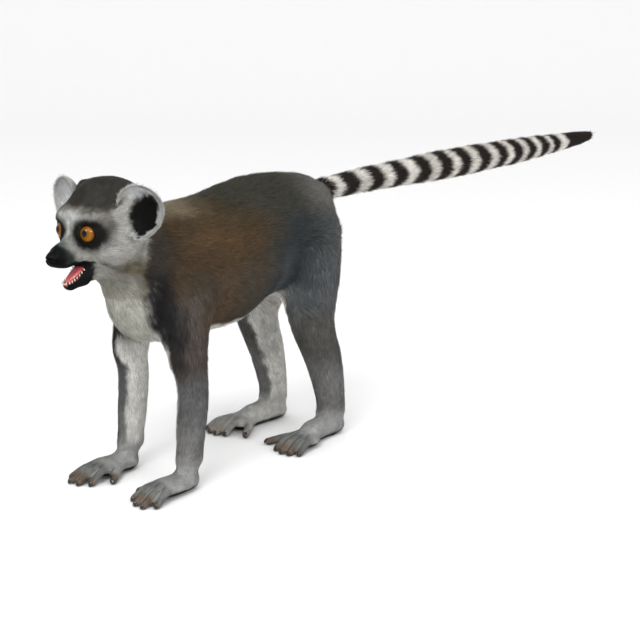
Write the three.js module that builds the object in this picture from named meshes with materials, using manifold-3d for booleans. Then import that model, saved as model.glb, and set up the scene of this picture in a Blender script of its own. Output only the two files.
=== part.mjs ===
// Ring-tailed lemur standing on four feet, life size, tail held out level behind it.
// Millimetres, +Z up, nose towards -Y, left side towards +X, floor at z = 0.
// Each form is a distance field: bones with a radius at either end and rounded masses,
// blended into one coat surface, meshed on a grid and parted by thin cuts.
import * as THREE from "three";
import { mergeVertices } from "three/addons/utils/BufferGeometryUtils.js";
import Module from "manifold-3d";

const wasm = await Module();
wasm.setup();

// ---------------------------------------------------------------- driving dimensions
const SEAM = 0.3; // gap between two neighbouring parts
const HALF_STANCE = 44; // hands and feet stand this far from the midline
const SHOULDER_Y = -92;
const HIP_Y = 88;
const WRIST = { y: -125, z: 31 };
const ANKLE = { y: 100, z: 31 };
const ELBOW_Z = 104;
const KNEE_Z = 134;
const TAIL = { rootY: 138, tipY: 772, z: 279, lengths: 4 };
const SKULL = { y: -174, z: 276 };
const EYE = { x: 17.5, y: -216, z: 268.5, radius: 8.8 };
const NOSE_TIP_Y = -253;
const MOUTH = { cornerY: -213, cornerZ: 237, drop: 16, length: 23, gape: 34 }; // gape in degrees below level

const COLOURS = {
  greyBrown: 0x6b6057,
  grey: 0x77787a,
  paleGrey: 0xa9aaa8,
  white: 0xd2d2cd,
  black: 0x1e1d1c,
  amber: 0xd07a10,
  pink: 0xb2575c,
};

// ---------------------------------------------------------------- distance fields
// A round-ended bone from a to b, with a radius at each end.
function bone(a, b, radiusA, radiusB = radiusA) {
  const [dx, dy, dz] = [b[0] - a[0], b[1] - a[1], b[2] - a[2]];
  const lengthSq = dx * dx + dy * dy + dz * dz;
  return (x, y, z) => {
    const [px, py, pz] = [x - a[0], y - a[1], z - a[2]];
    const along = (px * dx + py * dy + pz * dz) / lengthSq;
    const t = Math.min(1, Math.max(0, along));
    const gap = Math.hypot(px - t * dx, py - t * dy, pz - t * dz);
    return gap - (radiusA + t * (radiusB - radiusA));
  };
}

// An ellipsoid, pitched by tilt radians about X: positive lifts its -Y end.
function mass(centre, radii, tilt = 0) {
  const [cos, sin] = [Math.cos(tilt), Math.sin(tilt)];
  return (x, y, z) => {
    const [dx, dy, dz] = [x - centre[0], y - centre[1], z - centre[2]];
    const [ly, lz] = [dy * cos - dz * sin, dy * sin + dz * cos];
    const [ex, ey, ez] = [dx / radii[0], ly / radii[1], lz / radii[2]];
    const k0 = Math.hypot(ex, ey, ez);
    const k1 = Math.hypot(ex / radii[0], ey / radii[1], ez / radii[2]);
    return k1 < 1e-9 ? -Math.min(...radii) : (k0 * (k0 - 1)) / k1;
  };
}

// Smooth union of fields: reach is the width of the fillet.
function blend(reach, ...fields) {
  return (x, y, z) => {
    let d = fields[0](x, y, z);
    for (let i = 1; i < fields.length; i++) {
      const e = fields[i](x, y, z);
      const h = Math.max(reach - Math.abs(d - e), 0) / reach;
      d = Math.min(d, e) - (h * h * reach) / 4;
    }
    return d;
  };
}

// Smooth cut of tool out of field.
function carve(reach, field, tool) {
  const inverse = blend(reach, (x, y, z) => -field(x, y, z), tool);
  return (x, y, z) => -inverse(x, y, z);
}

// The same field on both sides of the midline.
const mirrored = (field) => (x, y, z) => field(Math.abs(x), y, z);

// A chain of bones through joints [x, y, z, radius].
function chain(reach, joints) {
  const bones = joints.slice(1).map((to, i) => {
    const from = joints[i];
    return bone(from.slice(0, 3), to.slice(0, 3), from[3], to[3]);
  });
  return blend(reach, ...bones);
}

// ---------------------------------------------------------------- meshing and cutting
// Meshes the part of a form inside box [low, high] by surface nets, then moves each vertex onto it.
function surface(form, [low, high], cell, tolerance) {
  const field = (...p) => Math.max(form(...p), ...p.map((v, i) => Math.max(low[i] - v, v - high[i])));
  const start = low.map((v, i) => v - 1.5 * cell[i]);
  const count = high.map((v, i) => Math.ceil((v - start[i]) / cell[i]) + 3);
  const at = (i, j, k) => (k * count[1] + j) * count[0] + i;
  const place = (i, j, k) => [start[0] + i * cell[0], start[1] + j * cell[1], start[2] + k * cell[2]];
  const values = new Float64Array(count[0] * count[1] * count[2]);
  for (let k = 0; k < count[2]; k++)
    for (let j = 0; j < count[1]; j++)
      for (let i = 0; i < count[0]; i++) values[at(i, j, k)] = field(...place(i, j, k));

  const corners = [...Array(8).keys()].map((c) => [c & 1, (c >> 1) & 1, c >> 2]);
  const edges = [];
  for (let a = 0; a < 8; a++) for (const bit of [1, 2, 4]) if (!(a & bit)) edges.push([a, a | bit]);

  const vertices = [];
  const vertexOf = new Map();
  for (let k = 0; k < count[2] - 1; k++)
    for (let j = 0; j < count[1] - 1; j++)
      for (let i = 0; i < count[0] - 1; i++) {
        const v = corners.map(([a, b, c]) => values[at(i + a, j + b, k + c)]);
        const sum = [0, 0, 0];
        let crossings = 0;
        for (const [a, b] of edges) {
          if (v[a] < 0 === v[b] < 0) continue;
          const t = v[a] / (v[a] - v[b]);
          for (let n = 0; n < 3; n++) sum[n] += corners[a][n] + t * (corners[b][n] - corners[a][n]);
          crossings++;
        }
        if (!crossings) continue;
        vertexOf.set(at(i, j, k), vertices.length / 3);
        const p = [i, j, k].map((base, n) => start[n] + (base + sum[n] / crossings) * cell[n]);
        vertices.push(...settle(field, p));
      }

  const triangles = [];
  const steps = [[1, 0, 0], [0, 1, 0], [0, 0, 1]];
  for (let k = 1; k < count[2] - 1; k++)
    for (let j = 1; j < count[1] - 1; j++)
      for (let i = 1; i < count[0] - 1; i++)
        for (let axis = 0; axis < 3; axis++) {
          const inside = values[at(i, j, k)] < 0;
          const [sx, sy, sz] = steps[axis];
          if (inside === values[at(i + sx, j + sy, k + sz)] < 0) continue;
          const [u, v] = [steps[(axis + 1) % 3], steps[(axis + 2) % 3]];
          const ring = [[0, 0], [1, 0], [1, 1], [0, 1]].map(([a, b]) =>
            vertexOf.get(at(i - a * u[0] - b * v[0], j - a * u[1] - b * v[1], k - a * u[2] - b * v[2])));
          if (!inside) ring.reverse();
          triangles.push(ring[0], ring[1], ring[2], ring[0], ring[2], ring[3]);
        }
  return thinned(vertices, triangles, tolerance);
}

// Collapses edges while the surface stays within tolerance of the fine mesh, and returns the solid.
function thinned(flatPoints, flatFaces, tolerance) {
  const points = [];
  for (let i = 0; i < flatPoints.length; i += 3) points.push(new THREE.Vector3(...flatPoints.slice(i, i + 3)));
  const faces = [];
  for (let i = 0; i < flatFaces.length; i += 3) faces.push(flatFaces.slice(i, i + 3));
  const facesAt = points.map(() => new Set());
  const planesAt = points.map(() => []);
  const normalOf = (a, b, c) => b.clone().sub(a).cross(c.clone().sub(a));
  faces.forEach((face, f) => {
    const normal = normalOf(...face.map((v) => points[v])).normalize();
    const plane = [normal, -normal.dot(points[face[0]])];
    for (const v of face) {
      facesAt[v].add(f);
      planesAt[v].push(plane);
    }
  });
  const neighbours = (v) => new Set([...facesAt[v]].flatMap((f) => faces[f]).filter((w) => w !== v));
  const farthest = (p, v) => planesAt[v].reduce((m, [n, d]) => Math.max(m, Math.abs(n.dot(p) + d)), 0);

  // A collapse may not turn a face round, make a sliver or pinch the surface.
  function allowed(a, b, p) {
    const shared = [...neighbours(a)].filter((v) => neighbours(b).has(v));
    if (shared.length !== 2) return false;
    for (const v of [a, b])
      for (const f of facesAt[v]) {
        if (faces[f].includes(a) && faces[f].includes(b)) continue;
        const old = faces[f].map((w) => points[w]);
        const moved = faces[f].map((w) => (w === v ? p : points[w]));
        const [n0, n1] = [normalOf(...old), normalOf(...moved)];
        const longest = Math.max(...moved.map((q, i) => q.distanceToSquared(moved[(i + 1) % 3])));
        if (n0.dot(n1) < 0.5 * n0.length() * n1.length() || n1.length() < 0.1 * longest) return false;
      }
    return true;
  }

  for (let pass = 0, changed = true; changed && pass < 12; pass++) {
    changed = false;
    const candidates = [];
    for (let a = 0; a < points.length; a++)
      for (const b of neighbours(a)) {
        if (b < a) continue;
        const middle = points[a].clone().lerp(points[b], 0.5);
        const options = [middle, points[a], points[b]].map((p) => [Math.max(farthest(p, a), farthest(p, b)), p]);
        const [cost, p] = options.reduce((best, o) => (o[0] < best[0] ? o : best));
        if (cost < tolerance) candidates.push([cost, a, b, p]);
      }
    candidates.sort((m, n) => m[0] - n[0]);
    const touched = new Set();
    for (const [, a, b, p] of candidates) {
      if (touched.has(a) || touched.has(b) || !allowed(a, b, p)) continue;
      for (const v of [...neighbours(a), ...neighbours(b)]) touched.add(v);
      for (const f of facesAt[b]) {
        if (faces[f].includes(a)) for (const v of faces[f]) facesAt[v].delete(f);
        else {
          faces[f] = faces[f].map((v) => (v === b ? a : v));
          facesAt[a].add(f);
        }
      }
      facesAt[b] = new Set();
      planesAt[a].push(...planesAt[b]);
      points[a] = p.clone();
      changed = true;
    }
  }

  const kept = [...new Set(facesAt.flatMap((set) => [...set]))];
  const mesh = new wasm.Mesh({
    numProp: 3,
    vertProperties: new Float32Array(points.flatMap((p) => p.toArray())),
    triVerts: new Uint32Array(kept.flatMap((f) => faces[f])),
  });
  return new wasm.Manifold(mesh);
}

// Moves a point along the field's slope until it lies on the surface.
function settle(field, point) {
  const h = 0.05;
  let p = point;
  for (let pass = 0; pass < 3; pass++) {
    const d = field(...p);
    const slope = [0, 1, 2].map((n) => {
      const q = [...p];
      q[n] += h;
      return (field(...q) - d) / h;
    });
    const size = slope.reduce((s, g) => s + g * g, 1e-9);
    p = p.map((v, n) => v - (d * slope[n]) / size);
  }
  return p;
}

// A three.js geometry as a solid.
function solid(geometry, matrix = new THREE.Matrix4()) {
  const g = geometry.clone().applyMatrix4(matrix);
  g.deleteAttribute("normal");
  g.deleteAttribute("uv");
  const merged = mergeVertices(g, 1e-3);
  const mesh = new wasm.Mesh({
    numProp: 3,
    vertProperties: merged.attributes.position.array,
    triVerts: new Uint32Array(merged.index.array),
  });
  return new wasm.Manifold(mesh);
}

// A ball stretched to radii, then turned.
function ball(centre, radii, rows = 8, turn = new THREE.Matrix4()) {
  const matrix = new THREE.Matrix4().makeTranslation(...centre).multiply(turn);
  matrix.scale(new THREE.Vector3(...radii));
  return solid(new THREE.SphereGeometry(1, rows * 2, rows), matrix);
}

// Everything on the side of a plane that its normal points to.
function beyond(point, normal) {
  const size = 2000;
  const n = new THREE.Vector3(...normal).normalize();
  const turn = new THREE.Quaternion().setFromUnitVectors(new THREE.Vector3(0, 0, 1), n);
  const centre = new THREE.Vector3(...point).addScaledVector(n, size / 2);
  const matrix = new THREE.Matrix4().compose(centre, turn, new THREE.Vector3(1, 1, 1));
  return solid(new THREE.BoxGeometry(size, size, size), matrix);
}

// Keeps what lies before the plane, half a seam short of it.
function before(shape, point, normal) {
  const n = new THREE.Vector3(...normal).normalize();
  const start = new THREE.Vector3(...point).addScaledVector(n, -SEAM / 2);
  return shape.subtract(beyond(start.toArray(), n.toArray()));
}

const after = (shape, point, normal) => before(shape, point, normal.map((v) => -v));

// Cuts a neighbour out of shape, with a gap towards the side that shape sticks out on.
const clearOf = (shape, neighbour, gap) => shape.subtract(neighbour).subtract(neighbour.translate(gap));

// ---------------------------------------------------------------- forms of the body
const trunk = blend(
  24,
  mass([0, SHOULDER_Y + 8, 216], [49, 60, 68]),
  mass([0, -42, 210], [46, 62, 66]),
  mass([0, 6, 221], [52, 94, 76]),
  mass([0, HIP_Y - 3, 236], [44, 60, 59]),
);
const breast = mass([0, -133, 194], [34, 44, 47]);

const neck = chain(10, [
  [0, -116, 233, 42],
  [0, -150, 245, 36],
]);

const arm = blend(
  12,
  chain(12, [
    [34, SHOULDER_Y - 2, 226, 27],
    [39, -107, 180, 22.5],
    [HALF_STANCE, -118, 138, 17],
    [HALF_STANCE, -115, 100, 14.8],
    [HALF_STANCE, -120, 60, 13.2],
    [HALF_STANCE, WRIST.y, WRIST.z, 11],
  ]),
  bone([26, -118, 178], [40, -122, 132], 22, 13), // the long hair in front of the armpit
);

const leg = blend(
  12,
  chain(14, [
    [31, 84, 232, 31],
    [39, 75, 174, 28],
    [HALF_STANCE, 74, KNEE_Z, 20],
    [HALF_STANCE, 90, 88, 18.5],
    [HALF_STANCE, 99, 44, 15],
    [HALF_STANCE, ANKLE.y, 26, 13.5],
  ]),
  mass([33, 73, 194], [27, 41, 54]), // the thigh's muscle and coat
);

// The tail's coat swells from the root to the middle and narrows to the tip.
function tailRadius(share) {
  const swell = 12 + 8 * Math.sin(Math.PI * Math.min(1, share * 1.15) * 0.62);
  const taper = Math.min(1, (1 - share) / 0.42);
  return Math.max(2.5, swell * Math.sin((taper * Math.PI) / 2) ** 0.62);
}
const TAIL_STEPS = 12;
const tail = chain(
  4,
  [...Array(TAIL_STEPS + 1).keys()].map((i) => {
    const share = i / TAIL_STEPS;
    const y = TAIL.rootY + share * (TAIL.tipY - 3 - TAIL.rootY);
    const z = TAIL.z - 7 * Math.exp(-share * 8) + 12 * share * share;
    return [0, y, z, tailRadius(share)];
  }),
);

const skull = blend(
  10,
  mass([0, SKULL.y, SKULL.z], [36, 43, 40]),
  mass([0, -198, 274], [31, 28, 27]),
  mass([22, -190, 254], [17, 26, 20]),
  mass([0, -178, 244], [26, 28, 26]),
);
const muzzle = blend(
  8,
  bone([0, -204, 258], [0, -236, 249.5], 19, 11.5),
  bone([0, -236, 249.5], [0, NOSE_TIP_Y + 7, 247.5], 10.5, 7),
);
const brow = mass([14, -215, 281], [12, 10, 8]);
const orbit = mass([17, -206.5, 268.5], [13, 12, 13]);
const jaw = chain(5, [
  [0, -190, 236, 15.5],
  [0, -213, 227.5, 9.8],
  [0, -227.5, 221.5, 7.2],
]);

// Heights of the upper lip and of the jaw's rim over y, meeting at the corner of the mouth.
const gapeAngle = THREE.MathUtils.degToRad(MOUTH.gape);
const upperLip = (y) => MOUTH.cornerZ + 0.05 * (MOUTH.cornerY - y);
function jawRim(y) {
  const share = Math.max(-0.4, Math.min(1, (MOUTH.cornerY - y) / MOUTH.length));
  return MOUTH.cornerZ - MOUTH.drop * Math.sin((share * Math.PI) / 2);
}
const openMouth = (x, y, z) => Math.max(z - upperLip(y), jawRim(y) - z, y - MOUTH.cornerY) * 0.87;
const face = blend(6, blend(10, skull, muzzle, brow, orbit), jaw);
const head = carve(2, face, openMouth);
const gapeTurn = new THREE.Matrix4().makeRotationX(gapeAngle);
const trough = (grow) => ball([0, -222, jawRim(-222) + 1], [8.2, 14.5, 5.8].map((r) => r + grow), 6, gapeTurn);

const body = mirrored(
  blend(14, blend(20, blend(18, trunk, breast), neck), blend(8, head, neck), arm, leg, tail),
);

// The ear is a rounded leaf: its front is pressed back into a cup with a rim, turned outwards.
const EAR = {
  centre: [51.5, -180, 285.5],
  radii: [22, 14, 27],
  flare: 0.24, // how much broader the top is than the middle
  rim: 1.6,
  wall: 5,
  turn: 18, // degrees outwards from straight ahead
  lean: 20, // degrees from upright
};
function earLeaf() {
  const shape = new THREE.SphereGeometry(1, 16, 8);
  const place = shape.attributes.position;
  for (let i = 0; i < place.count; i++) {
    const [x, y, z] = [-place.getX(i), place.getZ(i), place.getY(i)];
    const back = EAR.radii[1] * (Math.abs(y) - 0.4);
    const front = back - EAR.rim - (EAR.wall - EAR.rim) * Math.abs(y);
    place.setXYZ(i, x * EAR.radii[0] * (1 + EAR.flare * z), y < -0.01 ? front : back, z * EAR.radii[2]);
  }
  const [turn, lean] = [EAR.turn, EAR.lean].map(THREE.MathUtils.degToRad);
  shape.rotateY(lean);
  shape.rotateZ(turn);
  shape.translate(...EAR.centre);
  return solid(shape);
}

// ---------------------------------------------------------------- hands and feet
// Joints of each digit from inside the palm to the tip: [x, y, z, radius].
const palm = blend(
  7,
  bone([HALF_STANCE, WRIST.y, 34], [45, -133, 17], 11, 11.5),
  mass([46, -143, 9.5], [15.5, 24, 10]),
  mass([47, -160, 10], [16, 13, 7.5]),
  mass([HALF_STANCE, -124, 8], [10, 9, 9]),
);
const FINGERS = {
  thumb: [[37, -146, 8, 5.4], [28, -156, 7, 4.9], [20.5, -168, 4.2, 4.6]],
  finger_2: [[37, -160, 10.5, 5.2], [33.5, -172, 11, 4.7], [31.8, -186, 4.3, 4.6]],
  finger_3: [[43, -162, 11, 5.2], [42.6, -177, 11.8, 4.7], [43, -193, 4.3, 4.6]],
  finger_4: [[49.5, -162, 11, 5.2], [52.2, -177, 11.5, 4.7], [54, -194, 4.3, 4.6]],
  finger_5: [[55, -158, 10, 5], [60.2, -171, 10, 4.6], [63.4, -185, 4.2, 4.5]],
};

const sole = blend(
  8,
  bone([HALF_STANCE, ANKLE.y, 34], [HALF_STANCE, ANKLE.y - 2, 16], 13.5, 13.5),
  bone([HALF_STANCE, 112, 9], [46, 66, 12], 10.5, 13.5),
  mass([50, 47, 9], [19, 17, 8.8]),
  bone([HALF_STANCE, 92, 23], [50, 56, 12], 10, 8),
);
const TOES = {
  big_toe: [[41, 57, 8, 7], [29, 42, 8, 6.2], [17.5, 24.5, 5, 5.2]],
  toe_2: [[43, 42, 10.5, 5.4], [40, 28, 11, 4.9], [38.9, 15, 4.4, 4.7]],
  toe_3: [[49.5, 40, 11, 5.4], [49.6, 25, 11.8, 4.9], [49.8, 11, 4.4, 4.7]],
  toe_4: [[56.5, 40, 10.8, 5.4], [58.8, 26, 11.3, 4.9], [60.2, 12, 4.4, 4.7]],
  toe_5: [[63, 44, 10, 5.2], [67, 31, 10, 4.8], [69.6, 17.5, 4.3, 4.6]],
};

// ---------------------------------------------------------------- cutters between parts
// A dome-topped post round a limb, down through the floor.
function limbPost(x, y, radii, top, grow = 0) {
  const [rx, ry, rz] = radii.map((r) => r + grow);
  const height = 400 / rz;
  const shape = new THREE.CapsuleGeometry(1, height, 4, 20).rotateX(Math.PI / 2);
  const centre = new THREE.Vector3(x, y, top + grow - rz - 200);
  const matrix = new THREE.Matrix4().makeTranslation(centre).scale(new THREE.Vector3(rx, ry, rz));
  return solid(shape, matrix);
}
const armPost = (grow) => limbPost(64, -110, [40, 37, 46], 262, grow);
const legPost = (grow) => limbPost(66, 76, [44, 53, 50], 264, grow);

function block(low, high, grow = 0, pitch = 0, hinge = [0, 0, 0]) {
  const size = high.map((v, i) => v - low[i] + 2 * grow);
  const middle = high.map((v, i) => (v + low[i]) / 2 - hinge[i]);
  const matrix = new THREE.Matrix4().makeTranslation(...hinge);
  matrix.multiply(new THREE.Matrix4().makeRotationX(pitch));
  matrix.multiply(new THREE.Matrix4().makeTranslation(...middle));
  return solid(new THREE.BoxGeometry(...size), matrix);
}
const tailBlock = (grow) => block([-70, 150, 252], [70, 900, 340], grow);
const mouthCorner = [0, MOUTH.cornerY, MOUTH.cornerZ];
const jawBlock = (grow) =>
  block([-40, MOUTH.cornerY - 60, MOUTH.cornerZ - 60], [40, MOUTH.cornerY + 7, MOUTH.cornerZ], grow,
    THREE.MathUtils.degToRad(MOUTH.gape / 2), mouthCorner);

const HEAD_CUT = [[0, -148, 258], [0, -0.8, 0.6]];
const NECK_CUT = [[0, -112, 232], [0, -0.9, 0.43]];
const NOSE_CUT = [[0, -245.5, 250], [0, -1, 0.1]];
const FLOOR_CUT = [[0, 0, -SEAM / 2], [0, 0, 1]];
const ELBOW_CUT = [[HALF_STANCE, -113, ELBOW_Z], [0, 0, 1]];
const KNEE_CUT = [[HALF_STANCE, 74, KNEE_Z], [0, 0.25, 1]];
const WRIST_CUT = [[HALF_STANCE, WRIST.y, WRIST.z], [0, 0.2, 1]];
const ANKLE_CUT = [[HALF_STANCE, ANKLE.y, ANKLE.z], [0, 0.15, 1]];

// ---------------------------------------------------------------- parts
const lemur = new THREE.Group();

function addMesh(name, shape, colour, roughness = 0.9) {
  const { numProp, vertProperties, triVerts } = shape.getMesh();
  const position = new Float32Array((vertProperties.length / numProp) * 3);
  for (let i = 0; i < position.length / 3; i++)
    position.set(vertProperties.subarray(i * numProp, i * numProp + 3), i * 3);
  const geometry = new THREE.BufferGeometry();
  geometry.setAttribute("position", new THREE.BufferAttribute(position, 3));
  geometry.setIndex(new THREE.BufferAttribute(triVerts, 1));
  geometry.computeVertexNormals();
  const material = new THREE.MeshStandardMaterial({ color: colour, roughness, metalness: 0 });
  const mesh = new THREE.Mesh(geometry, material);
  mesh.name = name;
  lemur.add(mesh);
  return mesh;
}

// A part on the left and its mirror image on the right.
function addPair(name, shape, colour, roughness) {
  const left = addMesh("left_" + name, shape, colour, roughness);
  const right = left.clone();
  right.name = "right_" + name;
  right.scale.x = -1;
  lemur.add(right);
}

function addTrunkAndNeck() {
  const torso = surface(body, [[-64, -190, 140], [64, 176, 312]], [14, 17, 14], 2.3);
  let core = torso.subtract(tailBlock(SEAM / 2));
  for (const post of [armPost(SEAM / 2), legPost(SEAM / 2)]) {
    core = core.subtract(post).subtract(post.mirror([1, 0, 0]));
  }
  addMesh("trunk", before(core, ...NECK_CUT), COLOURS.greyBrown);
  addMesh("neck", before(after(core, ...NECK_CUT), ...HEAD_CUT), COLOURS.white);
}

function addTail() {
  const whole = surface(body, [[-30, 130, 252.2], [30, 786, 320]], [9, 22, 9], 1).intersect(tailBlock(-SEAM / 2));
  const step = (TAIL.tipY - 150) / TAIL.lengths;
  for (let i = 0; i < TAIL.lengths; i++) {
    const along = [0, 1, 0];
    let length = whole;
    if (i > 0) length = after(length, [0, 150 + i * step, 0], along);
    if (i < TAIL.lengths - 1) length = before(length, [0, 150 + (i + 1) * step, 0], along);
    addMesh("tail_" + (i + 1), length, i % 2 ? COLOURS.black : COLOURS.white);
  }
}

// Small cone teeth along the rim of the lower jaw, their roots sunk in it.
const TEETH = { perSide: 6, size: 1.5, height: 3.6, frontY: -232, backY: -218, frontX: 1.8, backX: 8.4 };
function lowerTeeth(grow = 0) {
  const [tip, root, height] = [0.5 + grow, TEETH.size + grow, TEETH.height + 2 * grow];
  const cone = new THREE.CylinderGeometry(tip, root, height, 5).rotateX(Math.PI / 2);
  const teeth = [];
  for (let i = 0; i < TEETH.perSide; i++) {
    const share = i / (TEETH.perSide - 1);
    const y = THREE.MathUtils.lerp(TEETH.frontY, TEETH.backY, share);
    const x = THREE.MathUtils.lerp(TEETH.frontX, TEETH.backX, Math.sqrt(share));
    for (const side of [-1, 1]) {
      teeth.push(solid(cone, new THREE.Matrix4().makeTranslation(side * x, y, jawRim(y) + 0.6)));
    }
  }
  return teeth;
}

function addHead() {
  const eyeBall = ball([EYE.x, EYE.y, EYE.z], Array(3).fill(EYE.radius), 7);
  const socket = ball([EYE.x, EYE.y, EYE.z], Array(3).fill(EYE.radius + SEAM), 7);
  const whole = after(surface(body, [[-52, -262, 196], [52, -108, 330]], [6, 6, 6], 1.1), ...HEAD_CUT);
  const socketed = whole.subtract(socket).subtract(socket.mirror([1, 0, 0]));
  const cut = socketed.subtract(jawBlock(SEAM / 2));
  addMesh("head", before(cut, ...NOSE_CUT), COLOURS.white);
  addMesh("nose", after(cut, ...NOSE_CUT), COLOURS.black, 0.45);
  addPair("eye", eyeBall, COLOURS.amber, 0.1);

  const bone = surface(body, [[-24, -246, 200], [24, -186, 246]], [3.4, 3.4, 3.4], 0.6);
  const hollow = bone.intersect(jawBlock(-SEAM / 2)).subtract(trough(0));
  addMesh("lower_jaw", lowerTeeth().reduce((shape, tooth) => shape.add(tooth), hollow), COLOURS.black, 0.6);
  const tongueTop = [[0, -222, jawRim(-222) + 2], [0, Math.sin(gapeAngle), Math.cos(gapeAngle)]];
  const tongue = before(trough(-SEAM), ...tongueTop);
  addMesh("tongue", lowerTeeth(SEAM).reduce((shape, tooth) => shape.subtract(tooth), tongue), COLOURS.pink, 0.5);

  addPair("ear", clearOf(earLeaf(), whole, [0.5, 0, 0.5]), COLOURS.white);
}

function addDigits(digits, limb, colour) {
  let inner = null;
  for (const [name, joints] of Object.entries(digits)) {
    const xs = joints.map((j) => j[0]);
    const ys = joints.map((j) => j[1]);
    const low = [Math.min(...xs) - 8, Math.min(...ys) - 8, -2];
    const high = [Math.max(...xs) + 8, Math.max(...ys) + 8, 24];
    const digit = after(surface(chain(3, joints), [low, high], [4, 6, 4], 1), ...FLOOR_CUT);
    const way = new THREE.Vector3(xs[1] - xs[0], ys[1] - ys[0], 0).setLength(1.5 * SEAM);
    let shape = clearOf(digit, limb, way.toArray());
    if (inner) shape = clearOf(shape, inner, [1.5 * SEAM, 0, 0]);
    addPair(name, shape, colour, 0.7);
    inner = shape;
  }
}

function addArm() {
  const whole = surface(body, [[12, -160, 90], [80, -50, 300]], [10, 11, 15], 1.6);
  addPair("upper_arm", after(whole.intersect(armPost(-SEAM / 2)), ...ELBOW_CUT), COLOURS.greyBrown);
  const lower = surface(body, [[24, -160, 10], [66, -92, 124]], [7.5, 7.5, 14], 1.3);
  addPair("forearm", after(before(lower, ...ELBOW_CUT), ...WRIST_CUT), COLOURS.grey);
  const palmSolid = surface(blend(6, arm, palm), [[20, -182, -3], [70, -100, 44]], [5, 5, 5], 1);
  const hand = after(before(palmSolid, ...WRIST_CUT), ...FLOOR_CUT);
  addPair("hand", hand, COLOURS.paleGrey);
  addDigits(FINGERS, hand, COLOURS.paleGrey);
}

function addLeg() {
  const whole = surface(body, [[12, 16, 110], [80, 150, 300]], [11, 12, 15], 1.6);
  addPair("thigh", after(whole.intersect(legPost(-SEAM / 2)), ...KNEE_CUT), COLOURS.grey);
  const lower = surface(body, [[18, 44, 12], [70, 130, 156]], [8, 8, 14], 1.3);
  addPair("shank", after(before(lower, ...KNEE_CUT), ...ANKLE_CUT), COLOURS.grey);
  const soleSolid = surface(blend(6, leg, sole), [[14, 24, -3], [76, 130, 46]], [5.2, 5.4, 5], 1);
  const foot = after(before(soleSolid, ...ANKLE_CUT), ...FLOOR_CUT);
  addPair("foot", foot, COLOURS.paleGrey);
  addDigits(TOES, foot, COLOURS.paleGrey);
}

addTrunkAndNeck();
addTail();
addHead();
addArm();
addLeg();

// The origin lies on the floor under the middle of the whole.
const middle = new THREE.Box3().setFromObject(lemur).getCenter(new THREE.Vector3());
lemur.position.y = -middle.y;
lemur.updateMatrixWorld(true);

export default lemur;
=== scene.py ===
import math

import bmesh
import bpy
import numpy as np
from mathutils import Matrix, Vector


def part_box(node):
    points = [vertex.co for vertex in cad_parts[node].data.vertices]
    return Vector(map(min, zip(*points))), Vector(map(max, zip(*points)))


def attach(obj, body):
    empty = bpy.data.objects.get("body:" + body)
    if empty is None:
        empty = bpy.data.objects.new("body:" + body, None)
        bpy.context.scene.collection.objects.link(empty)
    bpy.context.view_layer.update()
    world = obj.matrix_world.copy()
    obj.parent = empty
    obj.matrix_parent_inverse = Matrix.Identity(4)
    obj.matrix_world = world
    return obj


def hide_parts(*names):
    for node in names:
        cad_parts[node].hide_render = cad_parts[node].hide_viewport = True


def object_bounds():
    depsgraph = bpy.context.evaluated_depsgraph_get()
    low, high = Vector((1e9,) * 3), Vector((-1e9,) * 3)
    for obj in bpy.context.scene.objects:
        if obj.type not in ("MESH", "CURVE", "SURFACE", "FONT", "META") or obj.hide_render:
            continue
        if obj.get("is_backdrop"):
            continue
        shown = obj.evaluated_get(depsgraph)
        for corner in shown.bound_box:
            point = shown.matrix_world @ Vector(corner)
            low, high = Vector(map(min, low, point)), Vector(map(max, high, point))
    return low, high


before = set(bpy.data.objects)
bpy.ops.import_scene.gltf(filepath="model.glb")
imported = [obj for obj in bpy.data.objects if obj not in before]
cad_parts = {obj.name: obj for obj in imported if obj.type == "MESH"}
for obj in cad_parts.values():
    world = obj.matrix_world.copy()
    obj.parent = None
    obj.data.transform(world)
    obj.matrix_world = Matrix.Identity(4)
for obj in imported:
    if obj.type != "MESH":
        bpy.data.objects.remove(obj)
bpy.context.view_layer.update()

rng = np.random.default_rng(11)

EYE = np.array([17.5, -216.0, 268.5])
EYE_RADIUS = 8.8
low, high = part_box("left_eye")
ORIGIN = (np.array(low) + np.array(high)) * 500 - EYE


def metres(p):
    return (np.asarray(p, float) + ORIGIN) / 1000


def millimetres(p):
    return np.asarray(p, float) * 1000 - ORIGIN


# ---- small mathematics
def unit(v):
    v = np.asarray(v, float)
    return v / np.maximum(np.linalg.norm(v, axis=-1, keepdims=True), 1e-9)


def away(p, spot):
    """How far each point is from the spot."""
    return np.linalg.norm(p - spot, axis=1)


def folded(p):
    """The points with the animal's right side laid over its left."""
    return np.stack([np.abs(p[:, 0]), p[:, 1], p[:, 2]], 1)


def swing(p, i, j, angle):
    """The points turned about the third axis, axis j moving towards axis i."""
    c, s = math.cos(angle), math.sin(angle)
    q = p.copy()
    q[:, i] = p[:, i] * c + p[:, j] * s
    q[:, j] = p[:, j] * c - p[:, i] * s
    return q


def step(a, b, v):
    """0 where v is on a's side, 1 on b's side, smooth between."""
    t = np.clip((v - a) / (b - a), 0, 1)
    return t * t * (3 - 2 * t)


def mix(a, b, w):
    """a where the weight is 0 and b where it is 1, row by row."""
    return a + (b - a) * np.asarray(w, float)[:, None]


def noise(p, size, seed=0):
    """Smooth noise from -1 to 1 for each row of p, with bumps about size across."""
    q = p / size + seed * 17.13
    base = np.floor(q).astype(np.int64)
    f = q - base
    f = f * f * (3 - 2 * f)
    total = np.zeros(len(p))
    for corner in range(8):
        o = np.array([corner & 1, corner >> 1 & 1, corner >> 2])
        c = base + o
        h = (c[:, 0] * 73856093 ^ c[:, 1] * 19349663 ^ c[:, 2] * 83492791) & 0xFFFFFF
        h = (h * 2654435761 >> 7) & 0xFFFF
        total += np.prod(np.where(o, f, 1 - f), axis=1) * (h / 32767.5 - 1)
    return total


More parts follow.
